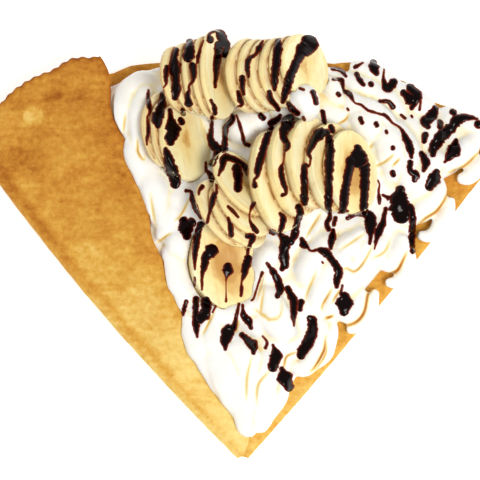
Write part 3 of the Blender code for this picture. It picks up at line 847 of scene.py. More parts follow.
def make_slice(s):
    bm = bmesh.new()
    cut = bm.verts.layers.float_vector.new("cut")
    touch = bm.verts.layers.float.new("touch")
    amber = bm.verts.layers.float.new("amber")
    others = [(slice_matrix(o).inverted(), o) for o in SLICES
              if o is not s and (o.centre - s.centre).length < NEIGHBOUR_REACH]
    amber_level = 1.0 if s.name in AMBER_SLICES else 0.0
    seed = s.centre.x * 0.7 + s.centre.y * 1.3
    matrix = slice_matrix(s)
    rows = []
    for share, z in slice_rings(s):
        row = []
        for i in range(SLICE_STEPS):
            angle = 2 * math.pi * i / SLICE_STEPS
            point = slice_outline(s, angle) * share
            height = z
            if z == 0.0:
                # The dished core, three soft lobes round it, rays and small dents
                core = math.exp(-((share - 0.05) / 0.26) ** 2)
                lobes = math.exp(-((share - 0.27) / 0.09) ** 2) * math.cos(3 * angle + seed)
                rays = math.sin(19 * angle + seed) * smooth(share / 0.5) * (1.0 - share)
                dents = noise.noise(Vector((point.x * 0.16, point.y * 0.16, seed)))
                height -= DISH_DEPTH * core - LOBE_HEIGHT * lobes + RAY_HEIGHT * rays
                height -= DENT_DEPTH * dents * (1 - share ** 4)
            elif share > 0.98:
                thread = math.sin(31 * angle + seed) + 0.6 * math.sin(53 * angle + 2 * seed)
                point *= 1.0 + THREAD_DEPTH * thread
            point.z = height
            v = bm.verts.new(matrix @ point)
            v[cut] = Vector((share * math.cos(angle), share * math.sin(angle), seed * 0.1))
            # Painted shade near the foot of a leaning slice on the face, and on the back of the slice
            v[touch] = contact_shade_level(matrix @ point, others) if z > -0.7 * s.thickness else BACK_SHADE
            v[amber] = amber_level
            row.append(v)
        rows.append(row)
    skin_rows(bm, rows)
    return new_piece("slice" + s.name[6:], bm, BANANA_FINISH)


slice_pieces = []
for s in SLICES:
    piece = make_slice(s)
    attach(piece, "root")
    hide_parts(s.name)
    slice_pieces.append(piece)
print("slices", sum(triangles(p) for p in slice_pieces), "triangles")

# %% [markdown]
# The cream is a spread bed with piped strands on it. A strand is written down as a cook
# would squeeze it: the line that the nozzle followed on the picture, how thick it is, and
# how far it stands off the bed. The bed itself is the same form as in the solid.

# %% Cream sizes
CREAM_RIM = 5.0
BARE_AT_TIP = 4.5
BARE_EDGE = 7.0
BARE_BAY = 5.0
BAY_AT = 152.0
BAY_REACH = 9.0
TOP_LEFT_TRIM = 0.012
CREAM_THIN = 4.0
CREAM_DEPTH = 8.5
EDGE_SLOPE = 22.0
POCKET_SLOPE = 8.7
MOUND_DEPTH = 5.5
MOUND_CENTRE = (4.0, 138.0)
MOUND_REACH = (52.0, 58.0)
MOUND_SPREAD = 1.3
DIP_DEPTH = 5.0
DIP_CENTRE = (-11.0, 143.0)
DIP_REACH = (12.0, 19.0)
BED_RINGS = 90
BED_STEPS = 80
# The visible bed is this much fuller than the solid's, with lumps on it
BED_EXTRA = 2.8
WIDE_LUMP = 1.6
SMALL_LUMP = 0.7
FLOOR_OF_CREAM = base_height(CREPE_RADIUS) + SHEET / 2 + GAP


def bed_height(r, angle):
    """Top of the spread cream: it follows the flap under it, and is a mound elsewhere."""
    spot = polar(r, angle, 0.0)
    edge = min(r * math.radians(right_fold(r) - angle), CREPE_RADIUS - CREAM_RIM - r,
               r - CREAM_START)
    depth = mix(CREAM_THIN, CREAM_DEPTH, smooth(edge / EDGE_SLOPE))
    across = (spot.x - MOUND_CENTRE[0]) / MOUND_REACH[0]
    along = (spot.y - MOUND_CENTRE[1]) / MOUND_REACH[1]
    depth += MOUND_DEPTH * smooth(MOUND_SPREAD - math.hypot(across, along))
    # Low in front of the left slices, whose faces stay bare
    across = (spot.x - DIP_CENTRE[0]) / DIP_REACH[0]
    along = (spot.y - DIP_CENTRE[1]) / DIP_REACH[1]
    depth -= DIP_DEPTH * math.exp(-across ** 2 - along ** 2)
    open_top = FLOOR_OF_CREAM + depth
    pocket = flap_height(r, min(angle, flap_edge(r))) - SHEET / 2 - 1.2 * GAP
    out_of_pocket = math.radians(angle - flap_edge(r)) * r
    return mix(min(pocket, open_top), open_top, smooth(out_of_pocket / POCKET_SLOPE))


def bed_at(point):
    return bed_height(max(CREAM_START, point.xy.length), math.degrees(math.atan2(point.x, point.y)))


Strand = namedtuple("Strand", "thickness lift line")
STRANDS = (
    # Left, along the flap's free edge
    Strand(6.5, 1.5, ((158, 78), (140, 80), (126, 94), (123, 112), (129, 134))),
    Strand(5.0, 4.0, ((147, 85), (140, 110), (141, 135), (146, 150))),
    Strand(5.5, 2.0, ((128, 130), (135, 150), (142, 170), (147, 190))),
    Strand(7.0, 1.0, ((146, 155), (152, 175), (158, 195), (165, 215), (172, 235))),
    Strand(4.5, 2.0, ((150, 190), (156, 210), (160, 225))),
    Strand(5.0, 2.0, ((180, 190), (176, 205), (168, 225), (160, 238))),
    Strand(6.0, 1.5, ((168, 245), (175, 265), (183, 290), (188, 310))),
    Strand(5.5, 3.0, ((178, 225), (180, 240), (181, 258))),
    # Tip, where the strands come together
    Strand(6.5, 1.0, ((188, 305), (193, 325), (203, 345), (215, 365), (225, 390))),
    Strand(7.0, 1.5, ((205, 310), (212, 335), (222, 360), (232, 385), (240, 410))),
    Strand(5.5, 3.0, ((213, 305), (217, 325), (225, 350), (236, 380), (246, 425))),
    Strand(6.5, 1.5, ((250, 345), (247, 370), (247, 400), (248, 428))),
    Strand(7.0, 1.5, ((268, 350), (262, 375), (260, 400), (258, 425))),
    Strand(4.8, 1.0, ((281, 370), (277, 388), (268, 403), (259, 417))),
    Strand(7.5, 2.0, ((228, 330), (240, 350), (247, 365), (251, 385))),
    # Middle, below the big row of slices
    Strand(8.0, 2.0, ((262, 285), (270, 305), (278, 320), (290, 335))),
    Strand(7.0, 2.0, ((300, 280), (312, 262), (322, 245), (330, 232))),
    Strand(7.0, 2.0, ((312, 300), (322, 282), (335, 262), (350, 240), (362, 228))),
    Strand(6.0, 2.0, ((325, 310), (338, 290), (350, 270), (362, 250), (375, 235))),
    Strand(5.5, 1.0, ((352, 285), (362, 265), (375, 248), (388, 232))),
    Strand(7.5, 5.0, ((233, 116), (241, 127), (248, 142))),
    Strand(7.0, 4.0, ((270, 116), (258, 122), (248, 128))),
    # In front of the lowest slices
    Strand(5.5, 3.5, ((192, 304), (205, 311), (222, 314), (240, 311), (256, 300))),
    Strand(6.0, 2.0, ((262, 270), (268, 255), (276, 240))),
    Strand(6.0, 1.0, ((240, 325), (255, 322), (270, 330))),
    # Right, nested folds that open towards the crepe's fold
    Strand(4.6, 2.5, ((292, 362), (305, 362), (315, 350), (319, 330), (316, 312))),
    Strand(3.6, 1.0, ((299, 366), (311, 360), (323, 348), (330, 333), (332, 319))),
    Strand(4.8, 2.5, ((337, 310), (349, 309), (358, 299), (362, 285))),
    Strand(3.4, 1.0, ((346, 325), (357, 321), (367, 310), (372, 297), (376, 284))),
    Strand(4.8, 2.5, ((378, 258), (390, 258), (397, 247), (401, 232))),
    Strand(3.4, 1.0, ((384, 277), (396, 276), (404, 267), (409, 255), (411, 243))),
    Strand(5.0, 2.5, ((402, 217), (422, 204), (436, 190), (440, 175))),
    Strand(3.6, 1.0, ((418, 230), (428, 231), (438, 223), (446, 208), (450, 192))),
    Strand(5.0, 2.5, ((440, 160), (455, 155), (468, 143), (480, 130))),
    Strand(3.8, 1.0, ((457, 172), (467, 172), (479, 163), (490, 150))),
    # Upper right
    Strand(7.0, 3.0, ((372, 120), (385, 135), (392, 155), (393, 180))),
    Strand(6.0, 2.5, ((395, 120), (403, 140), (408, 165), (405, 190))),
    Strand(7.0, 3.5, ((352, 110), (368, 125), (380, 140))),
    Strand(7.0, 3.0, ((345, 95), (360, 108), (378, 118), (395, 128))),
    Strand(6.0, 2.0, ((340, 72), (355, 80), (372, 90), (390, 98), (405, 112))),
    Strand(5.5, 1.0, ((350, 62), (370, 70), (390, 80), (405, 92))),
    Strand(5.5, 1.5, ((392, 82), (408, 92), (424, 102), (436, 110))),
    Strand(5.5, 2.0, ((420, 120), (432, 130), (428, 145))),
    Strand(5.5, 1.0, ((445, 100), (452, 115), (455, 130))),
    Strand(6.0, 1.5, ((410, 195), (420, 180), (428, 165), (440, 150))),
    Strand(5.0, 1.0, ((455, 115), (470, 119), (485, 122), (495, 122))),
    Strand(8.5, 5.0, ((297, 112), (307, 110), (318, 112))),
    Strand(8.2, 14.5, ((290, 113), (302, 108), (318, 109))),
    Strand(6.5, 5.0, ((325, 95), (333, 90), (341, 88))),
)
STRAND_HEIGHT_GUESS = 17.0
STRAND_SINK = 1.2

# %% [markdown]
# A Geometry Nodes tree pipes all strands at once: lines become smooth curves, a shallow
# star shaped nozzle runs along them, and the strand swells and thins out at its ends.

# %% Pipe the strands
def strand_lines():
    bm = bmesh.new()
    thick = bm.verts.layers.float.new("thick")
    for strand in STRANDS:
        before = None
        for x, y in strand.line:
            point = from_picture(x, y, STRAND_HEIGHT_GUESS)
            v = bm.verts.new((point.x, point.y, bed_at(point) + strand.lift - STRAND_SINK))
            v[thick] = strand.thickness * MM
            if before:
                bm.edges.new((before, v))
            before = v
    return new_piece("strands", bm)


def nozzle_tree():
    build, start, sockets = group_tree("piped strands", (
        ("Ridges", "Int"), ("Ridge depth", "Float"), ("Twist per metre", "Float"),
        ("Step", "Float"), ("Waviness", "Float")))
    curves = build.add("GeometryNodeMeshToCurve", {0: start.outputs[0]})
    spline = build.add("GeometryNodeCurveSplineType", {0: curves.outputs[0]}, spline_type="CATMULL_ROM")
    finer = build.add("GeometryNodeResampleCurve", {0: spline.outputs[0],
                                                   "Length": start.outputs["Step"]}, mode="LENGTH")
    where = build.add("GeometryNodeInputPosition").outputs[0]
    centred = build.vector("SUBTRACT", build.noise(where, 90.0, 1.0).outputs["Color"], (0.5, 0.5, 0.5))
    wander = build.vector("SCALE", centred, scale=start.outputs["Waviness"])
    moved = build.add("GeometryNodeSetPosition", {0: finer.outputs[0], "Offset": wander})
    spline_place = build.add("GeometryNodeSplineParameter")
    along = build.add("ShaderNodeMapRange", {0: spline_place.outputs["Factor"], 3: 0.06, 4: 0.94})
    swell = build.math("POWER", build.math("SINE", build.math("MULTIPLY", along.outputs[0], math.pi)), 0.5)
    uneven = build.math("ADD", build.around_half(build.noise(where, 140.0, 1.0), 0.3), 1.1)
    size = build.math("MULTIPLY", build.math("MULTIPLY", build.named("thick"), swell), uneven)
    tilt = build.math("MULTIPLY", spline_place.outputs["Length"], start.outputs["Twist per metre"])
    turned = build.add("GeometryNodeSetCurveTilt", {0: moved.outputs[0], "Tilt": tilt})
    star = build.add("GeometryNodeCurveStar", {
        "Points": start.outputs["Ridges"], "Outer Radius": 1.0,
        "Inner Radius": build.math("SUBTRACT", 1.0, start.outputs["Ridge depth"])})
    rounded = build.add("GeometryNodeResampleCurve", {0: star.outputs[0], "Count": 42}, mode="COUNT")
    pipe = build.add("GeometryNodeCurveToMesh", {0: turned.outputs[0], 1: rounded.outputs[0],
                                                "Scale": size, "Fill Caps": True})
    end_tree(build, pipe.outputs[0], CREAM_FINISH)
    return build, sockets


strands = strand_lines()
nozzle, nozzle_sockets = nozzle_tree()
apply_tree(strands, nozzle, nozzle_sockets, {
    "Ridges": 7, "Ridge depth": 0.03, "Twist per metre": 8.0, "Step": 0.0012, "Waviness": 0.003})
print("strands", triangles(strands), "triangles")

# %% [markdown]
# The bed is a grid laid over the base, with its own soft lumps. Bed and strands are
# joined, remeshed into one skin, and the room for the flap and the slices is cut away, so
# that nothing pokes through a slice.

# %% Bed of cream
def border(rows):
    """The vertices once round the edge of a grid."""
    return (rows[0] + [row[-1] for row in rows[1:]] + rows[-1][-2::-1]
            + [row[0] for row in rows[-2:0:-1]])


def make_bed():
    bm = bmesh.new()
    tops, lows = [], []
    for j in range(BED_RINGS):
        r = mix(CREAM_START, CREPE_RADIUS - CREAM_RIM, (j / (BED_RINGS - 1)) ** 0.9)
        pocket_start = left_fold(r) + math.degrees((ROLL_RADIUS + 2.0) / r)
        start = mix(flap_edge(r) - 2.0, pocket_start, smooth((r - 22.0) / 30.0))
        bare = BARE_EDGE + BARE_BAY * math.exp(-((r - BAY_AT) / BAY_REACH) ** 2)
        end = right_fold(r) - math.degrees(mix(BARE_AT_TIP, bare, smooth((r - 35.0) / 30.0)) / r)
        tops.append([])
        lows.append([])
        for i in range(BED_STEPS):
            angle = mix(start, end, i / (BED_STEPS - 1))
            # The cream stops short of the rim beside the flap
            trim = 1.0 - TOP_LEFT_TRIM * smooth((-12.0 - angle) / 9.0) * (j / (BED_RINGS - 1)) ** 4
            spot = polar(r * trim, angle, bed_height(r * trim, angle))
            open_share = smooth(math.radians(angle - flap_edge(r) - 1.0) * r / 8.0)
            edge_share = smooth(math.radians(right_fold(r) - angle) * r / 20.0)
            lump = noise.noise(spot * 0.09) * WIDE_LUMP + noise.noise(spot * 0.2) * SMALL_LUMP
            spot.z += (BED_EXTRA + lump) * open_share * edge_share
            tops[-1].append(bm.verts.new(spot))
            lows[-1].append(bm.verts.new(polar(r * trim, angle, FLOOR_OF_CREAM)))
    skin_rows(bm, tops, closed_rows=False, cap=False)
    skin_rows(bm, lows, closed_rows=False, cap=False)
    rim_top, rim_low = border(tops), border(lows)
    for i in range(len(rim_top)):
        j = (i + 1) % len(rim_top)
        bm.faces.new((rim_top[i], rim_top[j], rim_low[j], rim_low[i]))
    return new_piece("cream", bm, CREAM_FINISH)


def join(target, others):
    """Puts the others' meshes into the target's."""
    bm = bmesh.new()
    bm.from_mesh(target.data)
    for other in others:
        bm.from_mesh(other.data)
        bpy.data.objects.remove(other)
    bm.to_mesh(target.data)
    bm.free()
    return target


CREAM_VOXEL = 0.00088
SOFTENING = 5

cream = join(make_bed(), [strands])
remesh = cream.modifiers.new("skin", "REMESH")
remesh.mode = "VOXEL"
remesh.voxel_size = CREAM_VOXEL
soften = cream.modifiers.new("soften", "SMOOTH")
soften.factor = 0.5
soften.iterations = SOFTENING
bake(cream)
print("cream skin", triangles(cream), "triangles")

# %% Room for the flap and the slices
FLAP_ROOM = 0.7
FLAP_ROOM_RINGS = 50
FLAP_ROOM_RING_STEP = 4.0
FLAP_ROOM_STEPS = 16
FACE_ROOM = {"banana_left_3": 7.0, "banana_middle_4": 6.0,
             "banana_right_5": 4.0, "banana_upper_5": 2.0}
CUTTER_STEPS = 32


def flap_room():
    bm = bmesh.new()
    rows = []
    for k in range(FLAP_ROOM_RINGS):
        r = CREAM_START - 6.0 + k * FLAP_ROOM_RING_STEP
        start = left_fold(r) - math.degrees(2 * ROLL_RADIUS / r)
        end = flap_edge(r) + math.degrees(GAP / r)
        angles = [mix(start, end, i / FLAP_ROOM_STEPS) for i in range(FLAP_ROOM_STEPS + 1)]
        line = [(angle, flap_height(r, max(angle, left_fold(r)))) for angle in angles]
        pairs = thick_section(r, line, SHEET / 2 + FLAP_ROOM)
        ring = [pair[0] for pair in pairs] + [pair[1] for pair in reversed(pairs)]
        rows.append([bm.verts.new(polar(r, math.degrees(x / r), z)) for x, z in ring])
    skin_rows(bm, rows)
    return new_piece("flap_room", bm)


def slice_room(s):
    """Room for a slice, and in front of the big bare faces room enough to leave them bare."""
    bm = bmesh.new()
    matrix = slice_matrix(s)
    rows = []
    for z in (-s.thickness - GAP, FACE_ROOM.get(s.name, GAP)):
        row = []
        for i in range(CUTTER_STEPS):
            point = slice_outline(s, 2 * math.pi * i / CUTTER_STEPS) * 1.02
            point += point.normalized() * GAP
            point.z = z
            row.append(bm.verts.new(matrix @ point))
        rows.append(row)
    skin_rows(bm, rows)
    return new_piece("room", bm)


def cut_away(target, tools):
    box = bpy.data.collections.new("tools")
    bpy.context.scene.collection.children.link(box)
    for tool in tools:
        bpy.context.scene.collection.objects.unlink(tool)
        box.objects.link(tool)
    cut = target.modifiers.new("cut", "BOOLEAN")
    cut.operation = "DIFFERENCE"
    cut.operand_type = "COLLECTION"
    cut.collection = box
    cut.solver = "MANIFOLD"
    bake(target)
    for tool in list(box.objects):
        bpy.data.objects.remove(tool)
    bpy.data.collections.remove(box)


cut_away(cream, [flap_room()] + [slice_room(s) for s in SLICES])
print("cream", triangles(cream), "triangles, height", round(cream.dimensions.z * 1000, 1))

# %% [markdown]
# Where two folds of cream meet they leave a long sharp crease. Each crease is a line on the
# picture. The skin is made finer along the lines, then pressed in towards them, and it
# remembers how close the nearest line is, for the tan shade that the finish paints there.

# %% Where the creases run
Crease = namedtuple("Crease", "reach depth tint width lines")
# The third number of a crease is how strongly tan shade is painted along it
CREASES = (
    Crease(5.0, 1.5, 1.0, 1.9, """
        324,316 333,313 / 375.5,274.6 373,285 367,292 363.6,308 357,318 346,322.8 336.8,319.5 /
        405.8,250 402.4,257 396,268.5 385,273 379,270 / 325,333 323,347 315,362 309,369 / 415.7,225
        424,217 437,208 446.5,192 449,177 / 446.5,172 464,164 480,149
    """),
    Crease(5.0, 1.2, 0.75, 1.5, """
        331,286 322,302 321,308 / 339,287 331,300 / 297,349 286.5,353 283.6,361.6 281.6,368 / 320.6,211
        311.4,225.5 305.3,235.7 / 371.6,244 362,261 353.4,269 345,266 341,270 / 348,113 345,118 337,123
        / 372.7,141 366,152 / 393,153 383,161 371.6,166 / 362.4,136.3 360.4,142.4 / 399,157 391,165 /
        137.8,137 138.8,150.6 144,158 146,154 / 190,197 181.6,213 175.8,219 / 214.8,308.7 203,332 /
        238.8,317 236,330 / 312,370 324,352 325,336 / 172,230.5 157.7,241
    """),
    Crease(6.0, 0.9, 0.5, 1.7, """
        265,277 260.6,306 261.6,312 273,316.6 280,311 282,296.5 / 253,306 263.7,312 269.5,317 278.6,311
        / 316,268 308,287 304.6,298 / 365.5,230.6 348,242 338,248 / 390,236.7 383,250 369.6,257 /
        125.5,112 123.5,132 / 151,192 155.7,221 158.6,225.7 / 263.7,270.5 260.4,284.6 257,297 / 252,352
        247,372 246,396 / 270,366 258,380 256,400
    """),
)


def smooth_line(points, step):
    """Points about a step apart on a smooth curve through the given ones."""
    ends = [2 * points[0] - points[1], *points, 2 * points[-1] - points[-2]]
    for k in range(len(points) - 1):
        a, b, c, d = ends[k:k + 4]
        count = max(2, round((c.xy - b.xy).length * PIXEL / step))
        for i in range(count + (k == len(points) - 2)):
            t = i / count
            yield 0.5 * (2 * b + (c - a) * t + (2 * a - 5 * b + 4 * c - d) * t * t
                         + (3 * b - a - 3 * c + d) * t * t * t)


def read_strokes(rows):
    """Strokes stand between slashes. A stroke is places, and a place is numbers with commas."""
    for stroke in rows.split("/"):
        yield [Vector([float(n) for n in word.split(",")]) for word in stroke.split()]


def to_picture(point):
    """The pixel that shows a point of the frame, which is in metres."""
    spot = point / MM - TIP_PLACE
    up = (spot.y + spot.z * math.cos(VIEW_HEIGHT)) * SHORTENING / PIXEL
    return Vector((spot.x / PIXEL + TIP_PIXEL[0], TIP_PIXEL[1] - up, 0.0))


CREASE_STEP = 0.3


def crease_points():
    """Places along every crease: reach, width, and a depth and a painted shade strength that fade at its
    ends.
    """
    for crease in CREASES:
        for stroke in read_strokes(crease.lines):
            line = list(smooth_line(stroke, CREASE_STEP))
            for i, spot in enumerate(line):
                fade = math.sin(math.pi * mix(0.04, 0.96, i / (len(line) - 1))) ** 0.6
                yield spot, crease.reach, crease.width, crease.depth * fade, crease.tint * fade


# %% Press the creases in
FINE_WITHIN = 4.0
FINE_EDGES = (0.0007, 0.0004)


def press_creases(piece):
    points = list(crease_points())
    near = KDTree(len(points))
    for i, (spot, *_) in enumerate(points):
        near.insert(spot.to_3d(), i)
    near.balance()
    bm = bmesh.new()
    bm.from_mesh(piece.data)
    for longest in FINE_EDGES:
        edges = [e for e in bm.edges if e.calc_length() > longest
                 and near.find(to_picture((e.verts[0].co + e.verts[1].co) / 2))[2] < FINE_WITHIN]
        bmesh.ops.subdivide_edges(bm, edges=edges, cuts=1, use_grid_fill=True)
        bmesh.ops.triangulate(bm, faces=bm.faces)
    line_shade = bm.verts.layers.float.new("line")
    bm.normal_update()
    for v in bm.verts:
        _, index, away = near.find(to_picture(v.co))
        _, reach, width, depth, tint = points[index]
        if away < reach and v.normal.dot(TO_CAMERA) > 0.2:
            v.co -= TO_CAMERA * depth * MM * (1.0 - away / reach) ** 1.7
            # Tan shade painted along the crease line
            v[line_shade] = tint * math.exp(-(away / width) ** 2)
    for face in bm.faces:
        face.smooth = True
    bm.to_mesh(piece.data)
    bm.free()


press_creases(cream)

# %% [markdown]
# A crease is where a vertex lies lower than the average of its neighbours. A short tree
# blurs the positions, compares, and stores the difference, which the finish paints as tan shade.

# %% Paint shade into the creases
def crease_shade_tree():
    build, start, sockets = group_tree("cream creases", (("Reach", "Int"), ("Full depth", "Float")))
    where = build.add("GeometryNodeInputPosition").outputs[0]
    normal = build.add("GeometryNodeInputNormal").outputs[0]
    away = build.vector("SUBTRACT", build.blur(where, start.outputs["Reach"], "FLOAT_VECTOR"), where)
    depth = build.add("ShaderNodeVectorMath", {0: away, 1: normal}, operation="DOT_PRODUCT")
    share = build.math("DIVIDE", depth.outputs["Value"], start.outputs["Full depth"], clamp=True)
    stored = build.add("GeometryNodeStoreNamedAttribute",
                       {0: start.outputs[0], "Name": "crease", "Value": share},
                       data_type="FLOAT", domain="POINT")
    end_tree(build, stored.outputs[0], CREAM_FINISH)
    return build, sockets


creases, crease_sockets = crease_shade_tree()
apply_tree(cream, creases, crease_sockets, {"Reach": 5, "Full depth": 0.0004})
print("finished cream", triangles(cream), "triangles")
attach(cream, "root")
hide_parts("whipped_cream")

# %% [markdown]
# The sauce was dribbled from above in short wavering lines that break up and pool. Each
# stroke is written as places on the picture with the half width of the sauce there.
# Rows are named after what they lie on.

